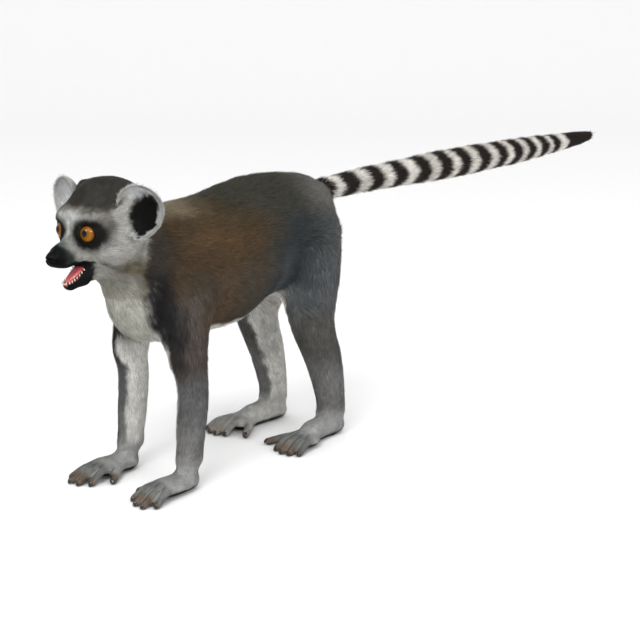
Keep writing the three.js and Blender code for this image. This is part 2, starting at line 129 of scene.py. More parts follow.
# ---- distance fields
def bone(a, b, ra, rb):
    a, d = np.array(a, float), np.array(b, float) - np.array(a, float)

    def field(p):
        t = np.clip((p - a) @ d / (d @ d), 0, 1)
        return np.linalg.norm(p - a - t[:, None] * d, axis=1) - (ra + t * (rb - ra))

    return field


def mass(centre, radii, tilt=0.0):
    centre, radii = np.array(centre, float), np.array(radii, float)

    def field(p):
        q = swing(p - centre, 2, 1, tilt)
        k0 = np.linalg.norm(q / radii, axis=1)
        k1 = np.maximum(np.linalg.norm(q / radii ** 2, axis=1), 1e-9)
        return k0 * (k0 - 1) / k1

    return field


def meld(reach, d, e):
    h = np.maximum(reach - np.abs(d - e), 0) / reach
    return np.minimum(d, e) - h * h * reach / 4


def blend(reach, *fields):
    def field(p):
        d = fields[0](p)
        for other in fields[1:]:
            d = meld(reach, d, other(p))
        return d

    return field


def chain(reach, joints):
    return blend(reach, *[bone(a[:3], b[:3], a[3], b[3]) for a, b in zip(joints, joints[1:])])


def limb(joints, extra, parts=4):
    """A tube through the joints on a smooth curve, with extra added to each radius."""
    j = np.array(joints, float)
    j = np.vstack([2 * j[0] - j[1], j, 2 * j[-1] - j[-2]])
    row = []
    for a, b, c, d in zip(j, j[1:], j[2:], j[3:]):
        for t in np.arange(parts) / parts:
            row.append(0.5 * (2 * b + (c - a) * t + (2 * a - 5 * b + 4 * c - d) * t ** 2
                              + (3 * b - a - 3 * c + d) * t ** 3))
    row = np.array(row + [j[-2]])
    row[:, 3] += extra
    bones = [bone(a[:3], b[:3], a[3], b[3]) for a, b in zip(row, row[1:])]

    def field(p):
        return np.min([f(p) for f in bones], axis=0)

    return field


# ---- forms, after the solids
barrel = blend(24, mass([0, -84, 216], [49, 60, 68]), mass([0, -42, 211], [46, 62, 65]),
               mass([0, 6, 221], [52, 94, 76]), mass([0, 85, 236], [44, 60, 59]),
               mass([0, 44, 235], [38, 66, 58]))


def trunk(p):
    """The barrel with its underside drawn up towards the thighs."""
    lift = np.interp(p[:, 1], [-60, -30, -14, 2, 22, 46, 80], [0, 1.5, 4.5, 11, 18, 19, 16])
    q = p.copy()
    q[:, 2] -= lift * step(228, 168, p[:, 2])
    return barrel(q)


breast = mass([0, -133, 194], [34, 44, 47])
neck = chain(10, [[0, -116, 233, 42], [0, -150, 245, 36]])
arm = blend(12, limb([[34, -94, 226, 27], [35.5, -109.5, 180, 22.5], [43.5, -118, 138, 17],
                      [44, -115, 100, 14.8], [44, -119, 60, 13.8], [44, -121.5, 33, 11.8]], 1.2),
            bone([26, -118, 178], [40, -122, 132], 22, 13))
leg = blend(12, limb([[31, 84, 232, 31], [37, 73, 174, 29.5], [42, 71, 134, 23.0],
                      [43.5, 89, 88, 19], [44, 100, 44, 15.2], [44, 101, 26, 13.5]], 1.4),
            mass([33, 76, 196], [27, 38, 54]))
TAIL_ROOT, TAIL_TIP = 138, 772
# The tail's radius at some shares of its length.
TAIL_SHARES = [0, 0.11, 0.17, 0.24, 0.30, 0.36, 0.42, 0.48, 0.55, 0.61, 0.67, 0.73, 0.79, 0.86,
               0.92, 0.96, 0.985, 1]
TAIL_RADII = [13, 14.3, 15.0, 15.9, 17.1, 17.9, 18.2, 17.9, 17.3, 16.8, 16.2, 15.0, 13.3, 11.4,
              9.6, 7.0, 4.6, 2.0]


def along_tail(y):
    return np.clip((y - TAIL_ROOT) / (TAIL_TIP - TAIL_ROOT), 0, 1)


def tail_radius(share):
    return np.interp(share, TAIL_SHARES, TAIL_RADII)


def tail_centre(share):
    return 277.3 - 5.5 * np.exp(-share * 8) + 14 * share * share - 1.5 * share ** 4


def tail(p):
    share = np.clip((p[:, 1] - TAIL_ROOT) / (TAIL_TIP - 3 - TAIL_ROOT), 0, 1)
    beyond = np.clip(np.maximum(p[:, 1] - TAIL_TIP + 3, TAIL_ROOT - p[:, 1]), 0, None)
    across = np.hypot(p[:, 0], p[:, 2] - tail_centre(share))
    return np.hypot(across, beyond) - tail_radius(share) - 0.6


skull = blend(10, mass([0, -174, 276], [36, 43, 40]), mass([0, -198, 274], [31, 28, 27]),
              mass([0, -188, 278], [29, 30, 35]),
              mass([22, -190, 254], [17, 26, 20]), mass([0, -178, 244], [26, 28, 26]))
muzzle = blend(7, bone([0, -204, 257], [0, -236, 247.6], 19, 10.6),
               bone([0, -236, 247.2], [0, -246.5, 246], 10, 6.6))
brow = mass([14, -215, 281], [12, 10, 8])
orbit = mass([17, -206.5, 268.5], [13, 12, 13])
jaw = chain(5, [[0, -190, 236, 15.5], [0, -213, 227.5, 9.8], [0, -227.5, 221.5, 7.2]])
ear_root = blend(9, bone([22, -178, 301.5], [46, -178, 308], 8, 4), mass([31, -180, 287], [10, 11, 19]),
                 mass([35, -178, 264], [9, 9, 11]))
throat = bone([0, -183, 228], [0, -160.5, 198], 12.5, 13.2)
face = blend(6, blend(14, blend(10, skull, muzzle, brow, orbit), ear_root), jaw)
torso = blend(20, blend(18, trunk, breast), blend(12, neck, throat))
MOUTH_Y, MOUTH_Z = -213.0, 237.0


def upper_lip(y):
    return MOUTH_Z - 2.6 + 0.09 * (MOUTH_Y - y)


def jaw_rim(y):
    share = np.clip((MOUTH_Y - y) / 23, -0.4, 1)
    return MOUTH_Z - 16 * np.sin(share * math.pi / 2)


def gape(p):
    """Below 0 in the wedge between the jaws."""
    y, z = p[:, 1], p[:, 2]
    return np.maximum(np.maximum(z - upper_lip(y), jaw_rim(y) - z), y - MOUTH_Y + 2) * 0.87


JAW_SLOPE = math.radians(34)
trough = mass([0, -222, float(jaw_rim(-222.0)) + 0.5], [7.4, 14, 5.8], -JAW_SLOPE)

palm = blend(7, bone([44, -122, 34], [45, -128, 14], 11.4, 11), mass([46, -143, 9], [15.5, 24, 9.5]),
             mass([47, -160, 10], [16, 13, 7.5]), mass([45, -127, 8], [10, 10.5, 8]))
sole = blend(8, bone([44, 100, 34], [44, 98, 16], 13.5, 13.5), bone([44, 109, 9.5], [46, 66, 11], 10.5, 13),
             mass([50, 47, 8], [19, 17, 8.6]), bone([44, 93, 20], [50, 58, 9], 9, 7))
FINGERS = {
    "thumb": [[37, -146, 8, 5.4], [28, -156, 7, 4.9], [20.5, -168, 4.2, 4.6]],
    "finger_2": [[37, -160, 10.5, 5.2], [33.5, -172, 11, 4.7], [31.8, -186, 4.3, 4.6]],
    "finger_3": [[43, -162, 11, 5.2], [42.6, -177, 11.8, 4.7], [43, -193, 4.3, 4.6]],
    "finger_4": [[49.5, -162, 11, 5.2], [52.2, -177, 11.5, 4.7], [54, -194, 4.3, 4.6]],
    "finger_5": [[55, -158, 10, 5], [60.2, -171, 10, 4.6], [63.4, -185, 4.2, 4.5]],
}
TOES = {
    "big_toe": [[41, 57, 8, 7], [29, 42, 8, 6.2], [17.5, 24.5, 5, 5.2]],
    "toe_2": [[43, 42, 10.5, 5.4], [40, 28, 11, 4.9], [38.9, 15, 4.4, 4.7]],
    "toe_3": [[49.5, 40, 11, 5.4], [49.6, 25, 11.8, 4.9], [49.8, 11, 4.4, 4.7]],
    "toe_4": [[56.5, 40, 10.8, 5.4], [58.8, 26, 11.3, 4.9], [60.2, 12, 4.4, 4.7]],
    "toe_5": [[63, 44, 10, 5.2], [67, 31, 10, 4.8], [69.6, 17.5, 4.3, 4.6]],
}
hand = blend(6, arm, palm)
foot = blend(6, leg, sole)
DIGIT_SLIMNESS = 0.80


def slim(joints):
    """A digit thinner than its solid, still resting on the floor."""
    out = []
    for x, y, z, r in joints:
        out.append([x, y, z - r * (1 - DIGIT_SLIMNESS) * (1 if z < 9 else 0.4), r * DIGIT_SLIMNESS])
    return out


def paw(palm_field, digits):
    fingers = [limb(slim(j), 0, 3) for j in digits.values()]

    def field(p):
        return meld(3.5, palm_field(p), np.min([f(p) for f in fingers], axis=0))

    return field


hand_whole, foot_whole = paw(hand, FINGERS), paw(foot, TOES)

SIGHT = unit([math.sin(math.radians(11)), -math.cos(math.radians(11)), math.sin(math.radians(6))])
GAZE = unit([math.sin(math.radians(25)), -math.cos(math.radians(25)), math.sin(math.radians(4))])
LID_ANGLE = math.radians(50)


def head_whole(p):
    """The head with the mouth open, its lids round the eyes, and nostrils."""
    d = face(p) + depth(p)
    d = -meld(1.6, -d, gape(p))
    d = -meld(0.8, -d, trough(p))
    r = p - EYE
    ball = np.linalg.norm(r, axis=1)
    along = r @ GAZE
    off_axis = np.arctan2(np.sqrt(np.maximum(ball ** 2 - along ** 2, 0)), along)
    d = meld(2.5, d, ball - EYE_RADIUS - 1.4)
    opening = np.maximum((off_axis - LID_ANGLE) * EYE_RADIUS, -along)
    d = -meld(0.8, -d, opening)
    d = np.maximum(d, EYE_RADIUS + 0.15 - ball)
    nostril = mass([3.3, -252.4, 246.6], [1.6, 2.6, 1.35])(p)
    slit = bone([4.2, -252.0, 246.3], [6.6, -248.6, 245.2], 0.85, 0.35)(p)
    groove = bone([0, -253.6, 246.5], [0, -251.5, 240.5], 0.55, 0.45)(p)
    for cut in (nostril, slit, groove):
        d = -meld(0.6, -d, cut)
    return d


def depth(p):
    """How far the skin lies inside the tips of the coat."""
    y, z = p[:, 1], p[:, 2]
    d = np.full(len(p), 4.6)
    d = d + (1.7 - d) * step(165, 45, z) * (y < 150)
    d = d + (0.5 - d) * step(34, 24, z)
    on_head = step(-150, -172, y) * step(195, 210, z)
    d = d + (2.4 - d) * step(-140, -160, y) * step(250, 235, z) * step(185, 205, z)
    near_face = np.maximum(step(-205, -222, y), step(20, 11, away(p, EYE)))
    scalp = 2.0 - 1.3 * near_face
    scalp = scalp + (0.4 - scalp) * step(-226, -238, y)
    d = d + (scalp - d) * on_head
    bare = np.maximum(step(-245, -248, y), step(-206, -212, y) * step(242.5, 239.5, z))
    d = d + (0.05 - d) * bare * on_head
    tail_depth = np.minimum(6.5, 0.42 * tail_radius(along_tail(y)))
    return d + (tail_depth - d) * step(140, 165, y)


PAW_TOP, HEAD_TO = 62, -108


def body(p):
    """The whole skin's field: below 0 inside."""
    p = folded(p)
    out = np.empty(len(p))
    y, z = p[:, 1], p[:, 2]
    paws, above = z < PAW_TOP, z >= PAW_TOP
    regions = [
        (paws & (y < -20), hand_whole),
        (paws & (y >= -20), foot_whole),
        (above & (y > 190), tail),
        (above & (y <= 190) & (y >= 0), blend(14, trunk, leg, tail)),
        (above & (y < 0) & (y > HEAD_TO), blend(14, torso, arm, leg)),
    ]
    for chosen, field in regions:
        out[chosen] = field(p[chosen]) + depth(p[chosen])
    rest = above & (y <= HEAD_TO)
    q = p[rest]
    front, head = blend(14, torso, arm)(q) + depth(q), head_whole(q)
    out[rest] = np.where(q[:, 1] < -196, np.minimum(head, front), meld(10, front, head))
    return np.maximum(out, 0.25 - z)


def slope(field, p, h=0.08):
    d = field(p)
    g = np.empty_like(p)
    for axis in range(3):
        q = p.copy()
        q[:, axis] += h
        g[:, axis] = (field(q) - d) / h
    return d, g


# ---- mesh helpers
def add_object(name, data):
    obj = bpy.data.objects.new(name, data)
    bpy.context.scene.collection.objects.link(obj)
    return obj


def new_mesh(name, vertices, faces):
    """A smooth object from arrays in the animal's millimetres; faces is an (n, 3) array."""
    mesh = bpy.data.meshes.new(name)
    faces = np.asarray(faces, np.int32)
    mesh.vertices.add(len(vertices))
    mesh.vertices.foreach_set("co", metres(vertices).astype(np.float32).ravel())
    mesh.loops.add(faces.size)
    mesh.loops.foreach_set("vertex_index", faces.ravel())
    mesh.polygons.add(len(faces))
    mesh.polygons.foreach_set("loop_start", np.arange(0, faces.size, 3, dtype=np.int32))
    mesh.update(calc_edges=True)
    mesh.polygons.foreach_set("use_smooth", np.full(len(faces), True))
    return add_object(name, mesh)


def points_of(obj):
    co = np.empty(len(obj.data.vertices) * 3, np.float32)
    obj.data.vertices.foreach_get("co", co)
    return millimetres(co.reshape(-1, 3))


def set_points(obj, p):
    obj.data.vertices.foreach_set("co", metres(p).astype(np.float32).ravel())
    obj.data.update()


def triangles_of(obj):
    obj.data.calc_loop_triangles()
    t = np.empty(len(obj.data.loop_triangles) * 3, np.int32)
    obj.data.loop_triangles.foreach_get("vertices", t)
    return t.reshape(-1, 3)


def add_attribute(obj, name, kind, values):
    layer = obj.data.attributes.new(name, kind, "POINT")
    key = {"FLOAT_COLOR": "color", "FLOAT_VECTOR": "vector", "FLOAT": "value"}[kind]
    layer.data.foreach_set(key, np.ascontiguousarray(values, np.float32).ravel())


def only(obj):
    bpy.ops.object.select_all(action="DESELECT")
    obj.select_set(True)
    bpy.context.view_layer.objects.active = obj


def finish_piece(obj, material):
    obj.data.materials.append(material)
    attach(obj, "root")


# ---- markings
def srgb(*c):
    return np.array(c, float) / 255


def linear(c):
    return np.where(c <= 0.04045, c / 12.92, ((c + 0.055) / 1.055) ** 2.4)


BROWN, BROWN_LOW, SHOULDER = srgb(69, 55, 39), srgb(79, 65, 51), srgb(85, 64, 42)
BACK, WITHERS, RUMP, RUMP_SIDE = srgb(54, 53, 45), srgb(133, 118, 97), srgb(90, 88, 84), srgb(52, 56, 57)
BAND, BAND_TOP, GROIN_FOLD_SHADE = srgb(26, 25, 26), srgb(62, 56, 49), srgb(44, 50, 53)
UPPER_ARM, FOREARM, WRIST = srgb(81, 73, 68), srgb(94, 94, 94), srgb(120, 119, 118)
THIGH, THIGH_REAR, KNEE, SHANK = srgb(86, 88, 90), srgb(88, 88, 90), srgb(83, 81, 78), srgb(110, 109, 108)
HAND, FOOT, DIGIT, DIGIT_GAP_SHADE = srgb(160, 160, 158), srgb(157, 157, 156), srgb(112, 114, 111), srgb(58, 58, 56)
TIP, PAD, INNER, BELLY = srgb(110, 93, 80), srgb(30, 27, 26), srgb(202, 201, 196), srgb(198, 194, 188)
CHEST, THROAT, JAW_SHADOW = srgb(182, 181, 175), srgb(159, 158, 149), srgb(138, 136, 126)
CAP, CAP_EDGE, WHITE, CHEEK = srgb(52, 50, 46), srgb(112, 108, 98), srgb(196, 197, 195), srgb(156, 154, 149)
NECK_SIDE, TEMPLE, RING, RING_EDGE = srgb(101, 84, 60), srgb(104, 100, 90), srgb(18, 16, 15), srgb(92, 92, 88)
SNOUT_TOP_SHEEN, SNOUT, SNOUT_EDGE = srgb(100, 122, 128), srgb(44, 46, 43), srgb(104, 106, 102)
NOSE, LIP, GUM = srgb(4, 4, 4), srgb(14, 13, 13), srgb(176, 84, 86)
EAR_WHITE, EAR_RIM, EAR_BLACK = srgb(192, 194, 193), srgb(181, 182, 180), srgb(15, 14, 13)
EAR_BASE, TAIL_WHITE, TAIL_BLACK = srgb(173, 172, 167), srgb(206, 202, 195), srgb(34, 28, 25)
# Middles of the tail's black rings, their half width as a share of the gap, and the tip's start.
RING_MIDDLES = [126, 167, 214, 259, 305, 352, 394, 439, 483, 522, 560, 597, 633]
RING_SHARE, BLACK_TIP = 0.28, 668


def markings(p, n):
    """Colour of skin and coat at each point, from where it lies on the animal."""
    a = folded(p)
    x, y, z = a.T
    right = p[:, 0] < 0
    rough = noise(p, 3.0, 1) * 2.2 + noise(p, 9.0, 2) * 2.0
    cloud = noise(p, 26.0, 3)
    c = np.tile(BROWN, (len(p), 1))
    c = mix(c, BROWN_LOW, step(240, 200, z + 8 * cloud))
    shoulder = np.exp(-(((y + 78) / 34) ** 2 + ((z - 246) / 24) ** 2))
    c = mix(c, SHOULDER, 0.8 * shoulder)
    back_from = np.interp(y, [-110, -30, 60], [276, 262, 248])
    c = mix(c, BACK, step(back_from, back_from + 22, z + 6 * cloud))
    c = mix(c, RUMP_SIDE, step(-38, 18, y - 0.25 * (z - 215) + 14 * cloud) * step(284, 250, z))
    c = mix(c, RUMP, step(30, 95, y + 10 * cloud) * step(238, 268, z))
    c = mix(c, RUMP, step(92, 128, y + 6 * cloud) * 0.8)
    c = mix(c, WITHERS, step(-60, -110, y + 10 * cloud) * step(262, 276, z) * 0.95)
    # fore limb
    on_arm = step(-60, -84, y) * step(208, 188, z + rough)
    c = mix(c, BROWN_LOW, on_arm * 0.8)
    c = mix(c, UPPER_ARM, on_arm * step(-104, -124, y + 8 * cloud + rough) * step(110, 128, z))
    c = mix(c, UPPER_ARM, on_arm * step(172, 140, z + 6 * cloud))
    c = mix(c, FOREARM, on_arm * step(132, 104, z + 6 * cloud))
    c = mix(c, WRIST, on_arm * step(84, 44, z + 6 * cloud))
    strip = on_arm * step(-121, -134, y + rough) * step(98, 140, z + 8 * cloud) * step(58, 48, x + rough)
    c = mix(c, BAND, 0.65 * strip)
    # hind limb
    on_leg = step(4, 22, y) * step(232, 205, z + rough)
    c = mix(c, THIGH, on_leg)
    c = mix(c, THIGH_REAR, step(58, 100, y + 6 * cloud) * step(120, 150, z) * step(262, 230, z))
    # Painted shade in the fold where the thigh meets the flank.
    groin_shade = np.exp(-(((y - 38) / 26) ** 2 + ((z - 206) / 34) ** 2))
    c = mix(c, GROIN_FOLD_SHADE, 0.8 * groin_shade)
    c = mix(c, KNEE, on_leg * step(172, 130, z + 8 * cloud))
    c = mix(c, SHANK, on_leg * step(110, 70, z + 8 * cloud))
    # pale inner sides and belly
    split = np.where(y < -20, np.interp(z, [0, 120, 150, 176, 190], [38.5, 38.5, 35, 31, 18]),
                     np.interp(z, [0, 50, 90, 130, 170, 190], [38, 35, 34, 34, 31, 16]))
    split = split - 7 * ((p[:, 0] > 0) & (y > -20)) + 6 * (right & (y < -20)) * step(112, 135, z)
    split = split - 0.5 * np.clip(y + 116, 0, 20) * (y < -20) * step(96, 120, z)
    inner = step(split + 2.5, split - 2.5, x + rough * 0.9) * step(200, 178, z) * step(26, 34, z)
    c = mix(c, INNER, inner * (y < 150))
    under = np.interp(y, [-120, -50, -14, 2, 22, 46, 80, 130], [163, 151, 153, 160, 172, 183, 196, 214])
    crotch = step(30, 50, y) * step(16, 22, x)
    arm_rear = step(24, 31, x) * step(-62, -74, y)
    belly = step(under + 6, under - 6, z + rough * 1.4) * step(-128, -112, y) * (z > 120)
    c = mix(c, BELLY, belly * (1 - crotch) * (1 - arm_rear))
    # chest, throat and neck
    fore = step(-112, -126, y + rough)
    side = np.interp(z, [150, 180, 205, 222, 240], [20, 22.5, 26, 24, 19])
    side = side - 5 * (right & (z < 206))
    c = mix(c, CHEST, fore * step(side + 4, side - 3, x + rough) * step(128, 136, z) * step(262, 240, z))
    neck_front = step(-150, -160, y + rough) * step(198, 206, z)
    under_neck = step(-140, -150, y + rough) * step(266, 250, z) * (z > 150)
    c = mix(c, THROAT, under_neck * step(side + 8, side, x))
    c = mix(c, NECK_SIDE, neck_front * step(14, 24, x) * step(252, 240, z) * step(205, 216, z) * 0.8)
    back_edge = np.interp(z, [150, 170, 195, 225, 260], [-127, -131, -133, -137, -141])
    band = step(-167, -158, y + rough) * step(back_edge + 10, back_edge - 8, y + rough * 1.5 + 4 * cloud)
    band_colour = mix(BAND, BAND_TOP, step(205, 240, z + 6 * cloud))
    band = band * step(side - 3, side + 5, x + rough) * step(140, 160, z) * step(284, 268, z)
    c = mix(c, band_colour, band)
    # hands and feet
    paw = step(40, 22, z + 3 * cloud)
    c = mix(c, np.where((y < 0)[:, None], HAND, FOOT), paw)
    reach = np.where(y < 0, step(-181, -188, y), step(22, 14, y))
    thumb = np.where(y < 0, step(28, 22, x) * step(-156, -165, y), step(28, 20, x) * step(42, 30, y))
    digits = np.where(y < 0, step(-158, -170, y), step(46, 34, y))
    c = mix(c, DIGIT, paw * digits * 0.8)
    c = mix(c, TIP, paw * np.maximum(reach, thumb) * 0.8 * (z < 30))
    # Painted shade in the narrow gaps between neighbouring fingers and toes.
    low, far_off = z < 26, 9.0
    gaps = np.full((2, len(p)), far_off)
    gaps[:, low] = np.sort([np.where((j[0][1] < 0) == (y[low] < 0), limb(slim(j), 0, 3)(a[low]), far_off)
                            for j in [*FINGERS.values(), *TOES.values()]], axis=0)[:2]
    c = mix(c, DIGIT_GAP_SHADE, step(2.2, 0.4, gaps[1] - gaps[0]) * step(3.0, 1.0, gaps[0]) * 0.55)
    # Painted light: the right foot, most of all its inner side, is painted paler where it lies in shade.
    c = mix(c, INNER, 0.4 * paw * (y > 0) * right)
    medial = -n[:, 0] * np.sign(p[:, 0])
    c = mix(c, INNER, paw * step(-0.1, 0.6, medial) * step(26, 40, y) * right * 0.95)
    c = mix(c, PAD, step(-0.2, -0.6, n[:, 2]) * step(12, 6, z))
    # head
    head_from = np.interp(x, [14, 26], [-148, -155])
    on_head = step(head_from, head_from - 8, y + rough) * (z > 200)
    hc = np.tile(CHEEK, (len(p), 1))
    hc = mix(hc, WHITE, step(-206, -216, y) * step(262, 272, z))
    strands = 0.5 + 0.5 * noise(p * [1, 1, 0.4], 3.5, 13)
    nape = step(250, 230, z + rough) * step(-200, -180, y) * step(10, 22, x)
    hc = mix(hc, NECK_SIDE, nape * (0.6 + 0.4 * strands))
    # Painted shadow of the jaw on the chin's underside and the upper throat.
    hc = mix(hc, JAW_SHADOW, step(232, 218, z + rough) * step(28, 18, x))
    edge = 290 - 0.0078 * x * x - np.maximum(0, y + 195) * 0.62
    hc = mix(hc, CAP_EDGE, step(-6, 0, z - edge + rough * 0.6) * 0.6)
    hc = mix(hc, CAP, step(-1.5, 5.5, z - edge + rough * 0.7))
    cap_side = np.interp(z, [262, 285, 300, 311], [25, 27, 32, 44])
    by_ear = step(cap_side - 3, cap_side + 4, x + rough) * step(-207, -198, y) * step(256, 268, z + rough)
    by_ear = by_ear * step(-164, -172, y)
    hc = mix(hc, EAR_BASE, by_ear)
    hollow = np.hypot((x - 42.5) / 5.5, (z - 283) / 15) + 0.06 * rough
    hc = mix(hc, EAR_BLACK, step(1.15, 0.55, hollow) * step(-166, -172, y))
    r = a - EYE
    s, t = r @ np.array([0.906, 0.423, 0.0]), r[:, 2]
    oval = np.hypot(s / np.where(s > 0, 18.0, 15.5), t / np.where(t > 0, 12.8, 15.0)) + rough * 0.025
    temple = step(0.2, 0.8, s / 22) * step(-6, 6, t) * step(-196, -202, y) * step(2.0, 1.2, oval)
    hc = mix(hc, TEMPLE, 0.8 * temple)
    hc = mix(hc, RING_EDGE, step(1.42, 0.92, oval) * step(-194, -200, y) * 0.75)
    hc = mix(hc, RING, step(1.12, 0.76, oval) * step(-194, -200, y))
    dark = np.interp(z, [236, 243, 256, 262, 267], [-223, -231, -238, -236.5, -233])
    hc = mix(hc, SNOUT_EDGE, step(dark + 10, dark, y + rough) * 0.8)
    snout = step(dark + 3.5, dark - 2.5, y + rough * 0.6)
    hc = mix(hc, SNOUT, snout)
    # Painted sheen: a pale bluish reflection along the top ridge of the dark snout.
    hc = mix(hc, SNOUT_TOP_SHEEN, snout * step(254, 260, z) * step(9.5, 5, x))
    hc = mix(hc, NOSE, step(-237, -243, y + rough * 0.3))
    lip = step(242.5, 239.5, z - 0.05 * (MOUTH_Y - y) + 0.4 * rough) * step(-203, -212, y + rough)
    hc = mix(hc, LIP, lip)
    roof = np.interp(y, [-238, -232, -222], [0, 2.0, 6.0])
    palate = step(1.5, 0.3, gape(a)) * step(roof, roof - 1.2, x) * (y < -206) * (y > -238)
    hc = mix(hc, GUM, np.maximum(palate, step(0.8, 0.2, trough(a)) * (y < -206)))
    c = mix(c, hc, on_head)
    # tail
    on_tail = np.maximum(step(124, 130, y) * step(250, 256, z) * (x < 22), step(136, 146, y + rough))
    hue = np.tile(TAIL_WHITE, (len(p), 1))
    share = along_tail(y)
    rise = np.clip(np.abs(z - tail_centre(share)) / tail_radius(share), 0, 1)
    where = y + 0.8 * rough + 1.5 * cloud - 9 * (1 - rise)
    for middle, gap in zip(RING_MIDDLES, np.gradient(RING_MIDDLES)):
        off = np.abs(where - middle) - RING_SHARE * gap
        hue = mix(hue, TAIL_BLACK, step(2.5, -2.5, off))
    hue = mix(hue, TAIL_BLACK, step(BLACK_TIP - 3, BLACK_TIP + 3, where))
    c = mix(c, RUMP, step(128, 138, y) * 0.5)
    c = mix(c, hue, on_tail)
    brownness = step(0.03, 0.10, c[:, 0] - c[:, 2]) * (z > 120)
    warm = (noise(p, 34.0, 9) * brownness)[:, None] * np.array([0.14, 0.05, -0.04])
    return np.clip(c * (1 + warm + 0.07 * cloud[:, None] + 0.06 * noise(p, 5.0, 6)[:, None]), 0, 1)


def on_nose(y, z):
    return step(-245, -247.5, y - 0.35 * (z - 246))


def wetness(p):
    """1 on the nose, lips and mouth, 0 on the coat."""
    a = folded(p)
    y, z = a[:, 1], a[:, 2]
    lips = step(-207, -212, y) * step(241.5, 239.5, z - 0.05 * (MOUTH_Y - y)) * (z > 200)
    lids = step(EYE_RADIUS + 3.4, EYE_RADIUS + 2.0, away(a, EYE))
    return np.maximum.reduce([on_nose(y, z), lips, lids])


# ---- skin
FLESH = [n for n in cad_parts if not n.endswith(("_eye", "_ear")) and n != "tongue"]


def raw_skin():
    """Copies of the flesh solids joined and remeshed into one closed surface."""
    bpy.ops.object.select_all(action="DESELECT")
    for name in FLESH:
        copy = add_object("flesh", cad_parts[name].data.copy())
        copy.select_set(True)
        bpy.context.view_layer.objects.active = copy
    bpy.ops.object.join()
    obj = bpy.context.view_layer.objects.active
    obj.data.remesh_voxel_size = 0.0014
    obj.data.remesh_voxel_adaptivity = 0
    bpy.ops.object.voxel_remesh()
    return obj


def largest_shell(count, t):
    """Which vertices belong to the biggest connected piece."""
    label = np.arange(count)
    while True:
        before = label.copy()
        low = label[t].min(axis=1)
        for k in range(3):
            np.minimum.at(label, t[:, k], low)
        label = label[label]
        if (label == before).all():
            break
    names, sizes = np.unique(label, return_counts=True)
    return label == names[sizes.argmax()]


def settle(p, passes=4):
    for _ in range(passes):
        d, g = slope(body, p)
        size = np.maximum((g * g).sum(1), 0.25)
        move = -(d / size)[:, None] * g
        length = np.linalg.norm(move, axis=1, keepdims=True)
        p = p + move * np.minimum(1, 2.0 / np.maximum(length, 1e-9))
    return p


def smooth(p, t, amount, passes):
    edges = np.unique(np.sort(np.concatenate([t[:, [0, 1]], t[:, [1, 2]], t[:, [2, 0]]]), axis=1), axis=0)
    count = np.bincount(edges.ravel(), minlength=len(p)).astype(float)[:, None]
    for _ in range(passes):
        total = np.zeros_like(p)
        for k in range(3):
            total[:, k] = (np.bincount(edges[:, 0], p[edges[:, 1], k], len(p))
                           + np.bincount(edges[:, 1], p[edges[:, 0], k], len(p)))
        p = p + amount * (total / np.maximum(count, 1) - p)
    return p


def body_surface():
    obj = raw_skin()
    p, t = points_of(obj), triangles_of(obj)
    keep = largest_shell(len(p), t)
    index = np.cumsum(keep) - 1
    p, t = p[keep], index[t[keep[t[:, 0]]]]
    p = settle(smooth(p, t, 0.5, 3), 3)
    bpy.data.objects.remove(obj)
    obj = new_mesh("surface", p, t)
    group = obj.vertex_groups.new(name="fine")
    y, z = p[:, 1], p[:, 2]
    fine = np.maximum(step(-178, -200, y) * (z > 190), step(34, 24, z))
    fine = np.maximum(fine, 0.35 * step(-150, -165, y) * (z > 190))
    for level in range(4):
        chosen = np.nonzero(np.round((1 - fine) * 4).astype(int) == level + 1)[0]
        group.add(chosen.tolist(), (level + 1) / 4, "REPLACE")
    only(obj)
    bpy.ops.object.modifier_add(type="DECIMATE")
    cut = obj.modifiers[-1]
    cut.ratio = 160000 / len(t)
    cut.vertex_group = "fine"
    bpy.ops.object.modifier_apply(modifier=cut.name)
    p, t = points_of(obj), triangles_of(obj)
    set_points(obj, settle(smooth(p, t, 0.4, 2), 2))
    for reach in (1.0, 0.55):
        refine(obj, reach)
    p, t = points_of(obj), triangles_of(obj)
    bpy.data.objects.remove(obj)
    return settle(smooth(p, t, 0.3, 1), 4), t


def refine(obj, reach):
    """Splits the edges near the nose, the nostrils, the lips and the lid rims."""
    grid = bmesh.new()
    grid.from_mesh(obj.data)
    a = folded(points_of(obj))
    near_nose = away(a, [3, -250, 246]) < 8 * reach + 1
    near_lid = np.abs(away(a, EYE) - EYE_RADIUS - 0.6) < 2.6 * reach
    near_lip = (np.abs(gape(a)) < 2.0 * reach) & (a[:, 1] < -208) & (a[:, 2] > 212) & (reach > 0.9)
    near = near_nose | (near_lid & (a[:, 1] < -200)) | near_lip
    edges = [e for e in grid.edges if near[e.verts[0].index] and near[e.verts[1].index]]
    bmesh.ops.subdivide_edges(grid, edges=edges, cuts=1, use_grid_fill=True)
    bmesh.ops.triangulate(grid, faces=grid.faces[:])
    grid.to_mesh(obj.data)
    grid.free()


# The ear is a cupped leaf, after the solids, with a fold and a lobe pressed into its front.
EAR_CENTRE, EAR_RADII = np.array([50.3, -181.4, 285.7]), (23.6, 14.0, 26.6)
EAR_FLARE, EAR_TURN, EAR_LEAN = 0.24, math.radians(18), math.radians(20)
EAR_RINGS, EAR_SPOKES, EAR_COAT = 43, 88, 0.7


def ear_place(q):
    """Turns the ear's own (x, y, z) to its place on the left of the head."""
    return swing(swing(q, 0, 2, EAR_LEAN), 1, 0, EAR_TURN) + EAR_CENTRE


def ear_local(p):
    """Undoes ear_place and scales to the leaf's own radii."""
    q = swing(swing(folded(p) - EAR_CENTRE, 0, 1, EAR_TURN), 2, 0, EAR_LEAN)
    z = q[:, 2] / EAR_RADII[2]
    return np.stack([q[:, 0] / EAR_RADII[0] / (1 + EAR_FLARE * z), q[:, 1], z], 1)


